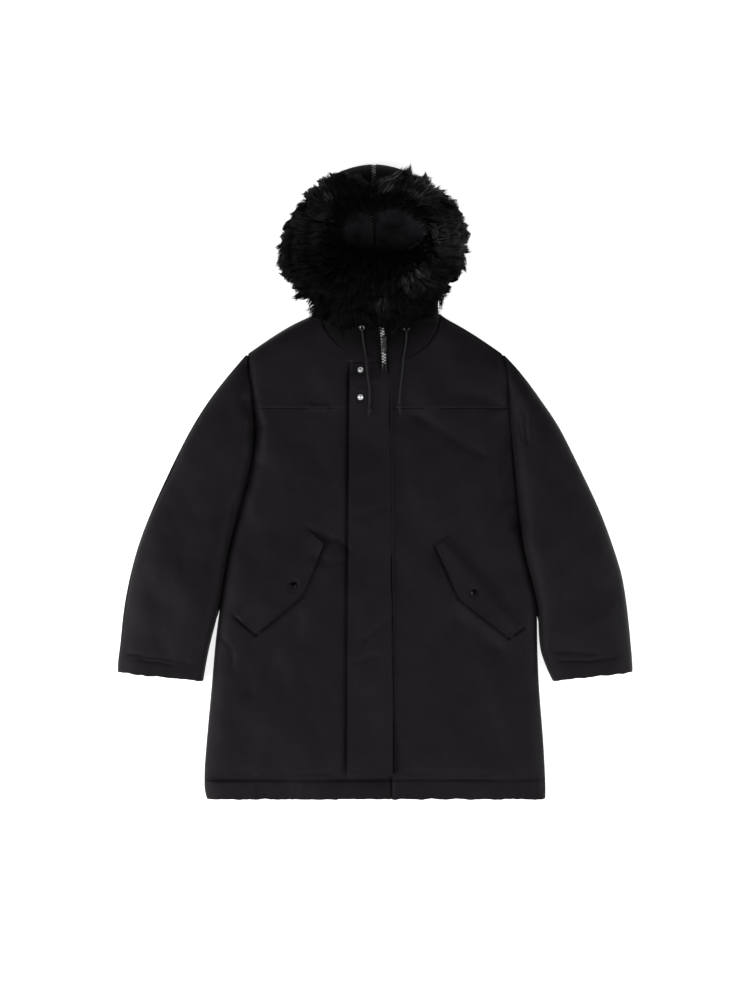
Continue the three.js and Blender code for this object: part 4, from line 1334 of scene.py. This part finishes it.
class PARKA_OT_zips(bpy.types.Operator):
    """Tapes and teeth of the front zip and of the zip over the hood's crown"""

    bl_idname = "parka.zips"
    bl_label = "Zips"

    def execute(self, context):
        spine = zip_spine()
        chain = [p for p in spine if p.y > ZIP_STOP_Y]
        tape = strip_mesh("front_zip_tape", spine, 0.0088, 0.0007, 0.0013)
        dress(tape, finish_of("tape"), GARMENT, "zip_metal", ["front_zip"])
        tooth = tooth_template()
        teeth = self.add_teeth("front_zip_teeth", chain, tooth, -0.0008)
        dress(teeth, finish_of("teeth"), GARMENT, "zip_metal")
        over = self.crown_spine()
        over += self.inner_spine(over[-1][0])
        crown_tape = self.crown_tape(over)
        dress(crown_tape, finish_of("tape"), GARMENT, "zip_metal", ["hood_zip"])
        crown_teeth = self.add_teeth("hood_zip_teeth", [p for p, _ in over], tooth, 0.0, over)
        dress(crown_teeth, finish_of("dark_teeth"), GARMENT, "zip_metal")
        bpy.data.objects.remove(tooth)
        return {"FINISHED"}

    def add_teeth(self, name, spine, tooth, rise, ups=None):
        pitch = settings("metal").tooth_pitch
        places = []
        count = int(line_length(spine) / (pitch / 2)) - 1
        for i in range(count):
            place, along = at_length(spine, (i + 0.5) * pitch / 2)
            side = 1 if i % 2 else -1
            up = Vector((0, 0, 1))
            if ups:
                up = min(ups, key=lambda row: (row[0] - place).length)[1]
            across = along.cross(up).normalized()
            up = across.cross(along)
            centre = place + across * (side * 0.0019) + up * rise
            places.append(frame_matrix(centre, along, up))
        return copies_of(name, tooth, places)

    def crown_spine(self):
        """Middle line of the hood zip's wall with its outward direction, from rim to foot."""
        low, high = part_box("hood_zip")
        middle_x = (low[0] + high[0]) / 2
        tree = tree_of(NODES["hood_zip"])
        centre = Vector((middle_x, low[1] + 0.02, 0.042))
        rows = []
        for i in range(361):
            turn = math.radians(mix(-110, 130, i / 360))
            ray = Vector((0, math.cos(turn), math.sin(turn)))
            outer, _, _, _ = tree.ray_cast(centre + ray * 0.3, -ray)
            inner, _, _, _ = tree.ray_cast(centre, ray)
            if outer and inner and (outer - inner).length < 0.02:
                rows.append(((outer + inner) / 2, ray))
        smoothed = []
        for i, (place, ray) in enumerate(rows):
            before = rows[max(i - 2, 0)][0]
            after = rows[min(i + 2, len(rows) - 1)][0]
            along = (after - before).normalized()
            up = Vector((1, 0, 0)).cross(along).normalized()
            if up.dot(ray) < 0:
                up.negate()
            smoothed.append((place, up))
        return smoothed

    def inner_spine(self, foot):
        """The line goes on from the zip's foot between the halves of the hood's back."""
        tree = tree_of(*(bpy.data.objects[f"hood_{side}_cloth"] for side in ("right", "left")))
        rows = []
        y = foot.y - 0.003
        while y > 0.405:
            beside = [drop_on(tree, foot.x + dx, y, 0.04)[0] for dx in (-0.009, 0.009)]
            heights = [hit.z for hit in beside if hit]
            if heights:
                height = sum(heights) / len(heights) - 0.0028
                rows.append((Vector((foot.x, y, height)), Vector((0, 0, -1))))
            y -= 0.003
        return rows

    def crown_tape(self, rows):
        """Closed strip along the crown zip, square to its outward direction."""
        half, thick = 0.0050, 0.0005
        verts = []
        faces = []
        for place, up in rows:
            for side, rise in ((-1, 1), (1, 1), (1, -1), (-1, -1)):
                verts.append(place + Vector((side * half, 0, 0)) + up * (rise * thick))
        last = len(rows) - 1
        for i in range(last):
            for k in range(4):
                a, b = 4 * i + k, 4 * i + (k + 1) % 4
                faces.append((a, a + 4, b + 4, b))
        faces.append((0, 1, 2, 3))
        faces.append((4 * last + 3, 4 * last + 2, 4 * last + 1, 4 * last))
        mesh = bpy.data.meshes.new("hood_zip_tape")
        mesh.from_pydata(verts, [], faces)
        piece = new_object("hood_zip_tape", mesh)
        recalculate(piece)
        return piece


class PARKA_OT_pull(bpy.types.Operator):
    """Zip slider and its pull tab"""

    bl_idname = "parka.pull"
    bl_label = "Slider and pull tab"

    def execute(self, context):
        slider = self.add_slider()
        dress(slider, finish_of("pull"), GARMENT, "silver_metal", ["zip_slider"])
        pull = self.add_pull()
        dress(pull, finish_of("pull"), PULL_TAB, "silver_metal", ["zip_pull"])
        return {"FINISHED"}

    def add_slider(self):
        """Body that narrows towards the closed chain, with the bridge that holds the pull."""
        low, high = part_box("zip_slider")
        x, y = (low[0] + high[0]) / 2, (low[1] + high[1]) / 2
        plate = 0.0026
        deselect()
        bpy.ops.mesh.primitive_cube_add(size=1, location=(x, y, low[2] + plate / 2))
        body = bpy.context.object
        body.name = "zip_slider_metal"
        body.scale = (high[0] - low[0], high[1] - low[1], plate)
        bpy.ops.object.transform_apply(location=True, rotation=True, scale=True)
        bpy.ops.object.mode_set(mode="EDIT")
        bpy.ops.mesh.select_all(action="SELECT")
        bpy.ops.mesh.subdivide(number_cuts=2)
        bpy.ops.mesh.select_all(action="DESELECT")
        bpy.ops.object.mode_set(mode="OBJECT")
        for vertex in body.data.vertices:
            vertex.select = vertex.co.y < y - 0.001
        bpy.ops.object.mode_set(mode="EDIT")
        bpy.ops.transform.resize(value=(0.74, 1, 1), center_override=(x, y, 0))
        bpy.ops.object.mode_set(mode="OBJECT")
        self.soften(body, 0.0005)
        deselect()
        bpy.ops.mesh.primitive_torus_add(
            location=(x, y, low[2] + plate - 0.0001),
            rotation=(0, math.pi / 2, 0),
            major_radius=0.0026,
            minor_radius=0.00055,
            major_segments=32,
            minor_segments=10,
        )
        bridge = bpy.context.object
        bpy.ops.object.transform_apply(location=True, rotation=True, scale=True)
        return self.joined(body, [bridge])

    def add_pull(self):
        """Tab with rounded ends and a hole, on two arms and the bar that turns in the bridge."""
        low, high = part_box("zip_pull")
        x = (low[0] + high[0]) / 2
        z = (low[2] + high[2]) / 2
        thick = high[2] - low[2]
        tab_top = high[1] - 0.0058
        middle = (low[1] + tab_top) / 2
        deselect()
        bpy.ops.mesh.primitive_cube_add(size=1, location=(x, middle, z))
        tab = bpy.context.object
        tab.name = "zip_pull_metal"
        tab.scale = (high[0] - low[0], tab_top - low[1], thick * 0.8)
        bpy.ops.object.transform_apply(location=True, rotation=True, scale=True)
        self.round_corners(tab, 0.0024)
        bpy.ops.mesh.primitive_cylinder_add(
            vertices=24, radius=0.0019, depth=0.01, location=(x, low[1] + 0.0042, z)
        )
        cutter = bpy.context.object
        make_active(tab)
        hole = tab.modifiers.new("hole", "BOOLEAN")
        hole.operation = "DIFFERENCE"
        hole.object = cutter
        bpy.ops.object.modifier_apply(modifier=hole.name)
        bpy.data.objects.remove(cutter)
        self.soften(tab, 0.00025)
        parts = []
        for side in (-1, 1):
            bpy.ops.mesh.primitive_cylinder_add(
                vertices=16,
                radius=thick * 0.4,
                depth=0.0075,
                location=(x + side * 0.00245, high[1] - 0.0040, z),
                rotation=(math.pi / 2, 0, 0),
            )
            parts.append(bpy.context.object)
        bpy.ops.mesh.primitive_cylinder_add(
            vertices=16,
            radius=thick * 0.4,
            depth=0.0060,
            location=(x, high[1] - 0.0008, z),
            rotation=(0, math.pi / 2, 0),
        )
        parts.append(bpy.context.object)
        pull = self.joined(tab, parts)
        self.even_normals(pull)
        return pull

    @staticmethod
    def round_corners(piece, radius):
        """Rounds the four upright edges."""
        make_active(piece)
        bpy.ops.object.mode_set(mode="EDIT")
        bpy.ops.mesh.select_mode(type="EDGE")
        bpy.ops.mesh.select_all(action="DESELECT")
        bpy.ops.object.mode_set(mode="OBJECT")
        points = piece.data.vertices
        for edge in piece.data.edges:
            a, b = (points[i].co for i in edge.vertices)
            edge.select = abs(a.x - b.x) < 1e-6 and abs(a.y - b.y) < 1e-6
        bpy.ops.object.mode_set(mode="EDIT")
        bpy.ops.mesh.bevel(offset=radius, segments=6)
        bpy.ops.object.mode_set(mode="OBJECT")

    @staticmethod
    def soften(piece, width):
        """Small bevel on the sharp edges."""
        make_active(piece)
        bevel = piece.modifiers.new("edges", "BEVEL")
        bevel.width = width
        bevel.segments = 2
        bevel.limit_method = "ANGLE"
        bpy.ops.object.modifier_apply(modifier=bevel.name)

    @staticmethod
    def even_normals(piece):
        """Keeps the large flat faces flat beside their bevels."""
        make_active(piece)
        modifier = piece.modifiers.new("normals", "WEIGHTED_NORMAL")
        modifier.keep_sharp = True
        bpy.ops.object.modifier_apply(modifier=modifier.name)

    @staticmethod
    def joined(piece, parts):
        make_active(piece)
        for part in parts:
            part.select_set(True)
        bpy.ops.object.join()
        bpy.ops.object.transform_apply(location=True, rotation=True, scale=True)
        shade_smooth(piece, 35)
        return piece


# Turned metal pieces


def turned(name, place, normal, rings, sides=40):
    """A turned piece: a disc whose rim is extruded through rings of (radius, height)."""
    deselect()
    first_radius, first_height = rings[0]
    bpy.ops.mesh.primitive_circle_add(vertices=sides, radius=first_radius, fill_type="NGON")
    piece = bpy.context.object
    piece.name = name
    bpy.ops.object.mode_set(mode="EDIT")
    bpy.ops.mesh.select_all(action="SELECT")
    bpy.ops.transform.translate(value=(0, 0, first_height))
    for (old_radius, old_height), (radius, height) in zip(rings, rings[1:]):
        bpy.ops.mesh.extrude_region_move(
            TRANSFORM_OT_translate={"value": (0, 0, height - old_height)}
        )
        factor = radius / old_radius
        bpy.ops.transform.resize(value=(factor, factor, 1), center_override=(0, 0, height))
    bpy.ops.mesh.select_all(action="SELECT")
    bpy.ops.mesh.normals_make_consistent(inside=False)
    bpy.ops.object.mode_set(mode="OBJECT")
    turn = normal.to_track_quat("Z", "Y").to_matrix().to_4x4()
    piece.data.transform(Matrix.Translation(place) @ turn)
    shade_smooth(piece, 30)
    return piece


class PARKA_OT_snaps(bpy.types.Operator):
    """Silver snaps on the storm flap and dark ones on the pocket flaps"""

    bl_idname = "parka.snaps"
    bl_label = "Snaps"

    def execute(self, context):
        r = settings("metal").snap_radius
        silver = [
            (r * 0.92, -0.0004),
            (r, 0.0003),
            (r, 0.0010),
            (r * 0.93, 0.0017),
            (r * 0.80, 0.0018),
            (r * 0.72, 0.0014),
            (r * 0.60, 0.0015),
            (r * 0.45, 0.0022),
            (r * 0.22, 0.0026),
            (r * 0.05, 0.0027),
        ]
        dark = [
            (r * 0.92, -0.0004),
            (r, 0.0003),
            (r, 0.0010),
            (r * 0.90, 0.0018),
            (r * 0.70, 0.0023),
            (r * 0.40, 0.0026),
            (r * 0.05, 0.0027),
        ]
        for node, rings, finish, slot in (
            ("fly_snap_1", silver, "silver", "silver_metal"),
            ("fly_snap_2", silver, "silver", "silver_metal"),
            ("pocket_snap_right", dark, "dark", "dark_metal"),
            ("pocket_snap_left", dark, "dark", "dark_metal"),
        ):
            place, normal = self.seat(node)
            piece = turned(node + "_cap", place, normal, rings)
            dress(piece, finish_of(finish), GARMENT, slot, [node])
        return {"FINISHED"}

    @staticmethod
    def seat(node):
        """Place on the flap under a snap, and the way up from it."""
        side = node.rsplit("_", 1)[1]
        flap = "fly_flap" if node.startswith("fly") else "pocket_flap_" + side
        return drop_on(tree_of(bpy.data.objects[flap + "_cloth"]), *middle_of(node))


class PARKA_OT_grommets(bpy.types.Operator):
    """Grommets that the drawcords leave the hood by"""

    bl_idname = "parka.grommets"
    bl_label = "Grommets"

    def execute(self, context):
        for node in ("grommet_right", "grommet_left"):
            NODES[node].data.materials.clear()
            NODES[node].data.materials.append(finish_of("eyelet"))
        return {"FINISHED"}


# Drawcords: routes in plan, as in the part's source, in metres
CORD_RADIUS = 0.0015
CORDS = {
    "right": [
        (-0.0240, 0.2795),
        (-0.0226, 0.2680),
        (-0.0209, 0.2540),
        (-0.0174, 0.2360),
        (-0.0156, 0.2190),
        (-0.0142, 0.2000),
        (-0.0106, 0.1760),
        (-0.0100, 0.1500),
        (-0.0108, 0.1360),
    ],
    "left": [
        (0.0580, 0.2775),
        (0.0580, 0.2680),
        (0.0564, 0.2500),
        (0.0530, 0.2320),
        (0.0516, 0.2140),
        (0.0498, 0.1960),
        (0.0470, 0.1720),
        (0.0454, 0.1520),
        (0.0450, 0.1420),
    ],
}


class PARKA_OT_cords(bpy.types.Operator):
    """Drawcords and their knots"""

    bl_idname = "parka.cords"
    bl_label = "Drawcords"

    def execute(self, context):
        for side, route in CORDS.items():
            node = "cord_" + side
            path = self.path_over(node, route)
            piece = cord_tube(node + "_braid", path, CORD_RADIUS)
            dress(piece, finish_of("cord"), GARMENT, "cord", [node])
            knot = self.add_knot("knot_" + side)
            tail = self.add_tail(side)
            length = line_length(path)
            tuple(path[0])
            [tuple(p) for p in path]
        return {"FINISHED"}

    def path_over(self, node, route):
        """The route at the height of the CAD cord, as a smooth line of points."""
        tree = tree_of(NODES[node])
        low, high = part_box(node)
        points = []
        for x, y in smooth_line(route, 24):
            y = clamp(y, low[1] + 0.0006, high[1] - 0.0006)
            hits = [drop_on(tree, x + dx, y)[0] for dx in (-0.001, -0.0005, 0, 0.0005, 0.001)]
            heights = [h.z for h in hits if h]
            if heights:
                points.append(Vector((x, y, max(heights) - CORD_RADIUS)))
        return points

    def add_knot(self, node):
        """An overhand knot: a small closed coil of cord."""
        low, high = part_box(node)
        middle = Vector(((low[0] + high[0]) / 2, (low[1] + high[1]) / 2, (low[2] + high[2]) / 2))
        loop = []
        for i in range(40):
            t = i / 40 * 2 * math.pi
            x = 0.0016 * (math.sin(t) + 0.9 * math.sin(2 * t))
            y = 0.0017 * (math.cos(t) - 0.9 * math.cos(2 * t))
            z = -0.0008 * math.sin(3 * t)
            loop.append(middle + Vector((x, y, z)))
        piece = cord_tube(node + "_loop", loop, CORD_RADIUS * 0.9, closed=True)
        dress(piece, finish_of("cord"), GARMENT, "cord", [node])
        return piece

    def add_tail(self, side):
        """Short end of the cord under its knot."""
        low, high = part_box("knot_" + side)
        start = Vector(((low[0] + high[0]) / 2, low[1] + 0.001, (low[2] + high[2]) / 2 - 0.0006))
        sign = -1 if side == "right" else 1
        points = [
            start,
            start + Vector((sign * 0.001, -0.005, -0.0004)),
            start + Vector((sign * 0.0025, -0.009, -0.0006)),
        ]
        tail = cord_tube(f"cord_{side}_tail", points, CORD_RADIUS * 0.9)
        dress(tail, finish_of("cord"), GARMENT, "cord")
        return tail


def smooth_line(points, count):
    """Catmull-Rom points through a list of plan points."""
    full = [points[0], *points, points[-1]]
    spans = len(points) - 1
    made = []
    for i in range(count + 1):
        at = i / count * spans
        k = min(int(at), spans - 1)
        t = at - k
        p = full[k : k + 4]
        made.append(
            tuple(
                0.5
                * (
                    2 * p[1][a]
                    + (p[2][a] - p[0][a]) * t
                    + (2 * p[0][a] - 5 * p[1][a] + 4 * p[2][a] - p[3][a]) * t * t
                    + (3 * p[1][a] - p[0][a] - 3 * p[2][a] + p[3][a]) * t * t * t
                )
                for a in (0, 1)
            )
        )
    return made


def cord_tube(name, path, radius, closed=False, sides=12):
    """A tube along a path, with a UV map that runs along it."""
    count = len(path)
    verts = []
    for i, p in enumerate(path):
        before = path[(i - 1) % count] if closed else path[max(i - 1, 0)]
        after = path[(i + 1) % count] if closed else path[min(i + 1, count - 1)]
        along = (after - before).normalized()
        up = Vector((0, 0, 1))
        side = along.cross(up).normalized()
        up = side.cross(along)
        for k in range(sides):
            turn = k / sides * 2 * math.pi
            verts.append(p + side * (radius * math.cos(turn)) + up * (radius * math.sin(turn)))
    faces = []
    for i in range(count if closed else count - 1):
        a, b = i * sides, ((i + 1) % count) * sides
        for k in range(sides):
            n = (k + 1) % sides
            faces.append((a + k, a + n, b + n, b + k))
    if not closed:
        faces.append(tuple(reversed(range(sides))))
        faces.append(tuple(range((count - 1) * sides, count * sides)))
    mesh = bpy.data.meshes.new(name)
    mesh.from_pydata(verts, [], faces)
    layer = mesh.uv_layers.new(name="along")
    lengths = [0.0]
    for a, b in zip(path, path[1:]):
        lengths.append(lengths[-1] + (b - a).length)
    unit = 2 * math.pi * radius / 4
    for polygon in mesh.polygons:
        for loop in polygon.loop_indices:
            vertex = mesh.loops[loop].vertex_index
            ring, k = divmod(vertex, sides)
            layer.data[loop].uv = (lengths[ring] / unit, k / sides * 4)
    piece = new_object(name, mesh)
    recalculate(piece)
    shade_smooth(piece, 60)
    return piece


# Stitching


def stitch_template():
    """One stitch, modelled from a cylinder lying along Y with rounded ends."""
    deselect()
    bpy.ops.mesh.primitive_cylinder_add(
        vertices=6, radius=0.00038, depth=0.0020, rotation=(math.pi / 2, 0, 0)
    )
    stitch = bpy.context.object
    bpy.ops.object.transform_apply(location=True, rotation=True, scale=True)
    bpy.ops.object.mode_set(mode="EDIT")
    bpy.ops.mesh.select_all(action="DESELECT")
    bpy.ops.object.mode_set(mode="OBJECT")
    for polygon in stitch.data.polygons:
        polygon.select = len(polygon.vertices) == 6
    bpy.ops.object.mode_set(mode="EDIT")
    bpy.ops.mesh.select_mode(type="FACE")
    bpy.ops.mesh.extrude_region_shrink_fatten(TRANSFORM_OT_shrink_fatten={"value": 0.0004})
    bpy.ops.transform.resize(value=(0.5, 1.0, 0.5))
    bpy.ops.object.mode_set(mode="OBJECT")
    return stitch


STITCH_PITCH = 0.0034


def stitch_places(tree, line):
    """Matrices of the stitches along a line in plan, laid on the cloth."""
    places = []
    for a, b in zip(line, line[1:]):
        length = math.hypot(b[0] - a[0], b[1] - a[1])
        count = max(int(length / STITCH_PITCH), 1)
        for i in range(count):
            t = (i + 0.5) / count
            x, y = mix(a[0], b[0], t), mix(a[1], b[1], t)
            hit, normal = drop_on(tree, x, y)
            if hit is None:
                continue
            along = Vector((b[0] - a[0], b[1] - a[1], 0)).normalized()
            along = (along - normal * along.dot(normal)).normalized()
            places.append(frame_matrix(hit + normal * 0.00005, along, normal))
    return places


class PARKA_OT_stitching(bpy.types.Operator):
    """Stitch lines of the hem, yokes, flaps and cuffs"""

    bl_idname = "parka.stitching"
    bl_label = "Stitching"

    def execute(self, context):
        template = stitch_template()
        objects = bpy.data.objects
        fronts = [objects[n] for n in ("front_right_cloth", "front_left_cloth")]
        yokes = [objects[n] for n in ("yoke_right_cloth", "yoke_left_cloth")]
        fly = objects["fly_flap_cloth"]
        hem = [
            [(-0.306, HEM_STITCH_Y), (0.028, HEM_STITCH_Y)],
            [(0.032, HEM_STITCH_Y), (0.306, HEM_STITCH_Y)],
        ]
        self.add("stitches_hem", template, fronts, hem)
        yoke = [
            [(-0.212, YOKE_Y + 0.006), (-0.052, YOKE_Y + 0.006)],
            [(0.040, YOKE_Y + 0.006), (0.236, YOKE_Y + 0.006)],
        ]
        self.add("stitches_yokes", template, yokes, yoke)
        flap = [
            [(FLY_FREE[0] + 0.007, FLY_TOP - 0.004), (FLY_FREE[1] + 0.007, FLY_BOTTOM + 0.006)],
            [(FLY_FREE[1] + 0.007, FLY_BOTTOM + 0.006), (FLY_SEWN[1] - 0.003, FLY_BOTTOM + 0.006)],
            [(FLY_SEWN[0] - 0.004, FLY_TOP - 0.004), (FLY_SEWN[1] - 0.004, FLY_BOTTOM + 0.006)],
        ]
        self.add("stitches_fly", template, [fly], flap)
        for side in ("right", "left"):
            self.add_pocket(template, side)
            self.add_cuff(template, side)
        bpy.data.objects.remove(template)
        return {"FINISHED"}

    def add(self, name, template, targets, lines):
        tree = tree_of(*targets)
        places = [m for line in lines for m in stitch_places(tree, line)]
        piece = copies_of(name, template, places)
        dress(piece, finish_of("stitch"), GARMENT, "shell_cloth")
        return piece

    # Corners of each pocket flap in plan: sewn edge's two ends, then the free edge back
    FLAPS = {
        "right": [
            (-0.125, -0.088),
            (-0.259, -0.249),
            (-0.2198, -0.2816),
            (-0.1321, -0.2075),
            (-0.0943, -0.1136),
        ],
        "left": [
            (0.1395, -0.098),
            (0.280, -0.261),
            (0.2489, -0.2878),
            (0.1564, -0.2141),
            (0.1137, -0.1202),
        ],
    }

    def add_pocket(self, template, side):
        corners = self.FLAPS[side]
        centre_x = sum(c[0] for c in corners) / len(corners)
        centre_y = sum(c[1] for c in corners) / len(corners)
        inset = 0.90
        inner = [(mix(centre_x, x, inset), mix(centre_y, y, inset)) for x, y in corners]
        free = inner[1:] + inner[:1]
        flap = bpy.data.objects[f"pocket_flap_{side}_cloth"]
        self.add(f"stitches_pocket_{side}", template, [flap], [free])

    def add_cuff(self, template, side):
        sign = -1 if side == "right" else 1
        upper = bpy.data.objects[f"sleeve_{side}_upper_cloth"]
        inner = 0.322 if side == "right" else 0.332
        line = [(sign * inner, -0.345), (sign * 0.470, -0.328)]
        self.add(f"stitches_cuff_{side}", template, [upper], [line])


class PARKA_PT_panel(bpy.types.Panel):
    """Sizes and pieces of the parka"""

    bl_label = "Parka"
    bl_idname = "PARKA_PT_panel"
    bl_space_type = "VIEW_3D"
    bl_region_type = "UI"
    bl_category = "Parka"

    def draw(self, context):
        for group in GROUPS:
            box = self.layout.box()
            values = getattr(context.scene, group)
            for name in values.__annotations__:
                box.prop(values, name)
        for operator in PIECES:
            self.layout.operator(operator.bl_idname)


PIECES = (
    PARKA_OT_stage,
    PARKA_OT_body,
    PARKA_OT_sleeves,
    PARKA_OT_hood,
    PARKA_OT_flaps,
    PARKA_OT_ruff,
    PARKA_OT_zips,
    PARKA_OT_pull,
    PARKA_OT_snaps,
    PARKA_OT_grommets,
    PARKA_OT_cords,
    PARKA_OT_stitching,
)
GROUPS = {
    "parka_cloth": ParkaCloth,
    "parka_fur": ParkaFur,
    "parka_metal": ParkaMetal,
    "parka_stage": ParkaStage,
}


def register():
    for cls in (*GROUPS.values(), *PIECES, PARKA_PT_panel):
        bpy.utils.register_class(cls)
    for name, group in GROUPS.items():
        setattr(bpy.types.Scene, name, bpy.props.PointerProperty(type=group))


def unregister():
    for name in GROUPS:
        delattr(bpy.types.Scene, name)
    for cls in reversed((*GROUPS.values(), *PIECES, PARKA_PT_panel)):
        bpy.utils.unregister_class(cls)


def main():
    register()
    SIZES_IN_USE["wrinkle"] = settings("cloth").wrinkle
    for operator in PIECES:
        group, name = operator.bl_idname.split(".")
        getattr(getattr(bpy.ops, group), name)()


if __name__ == "__main__":
    main()
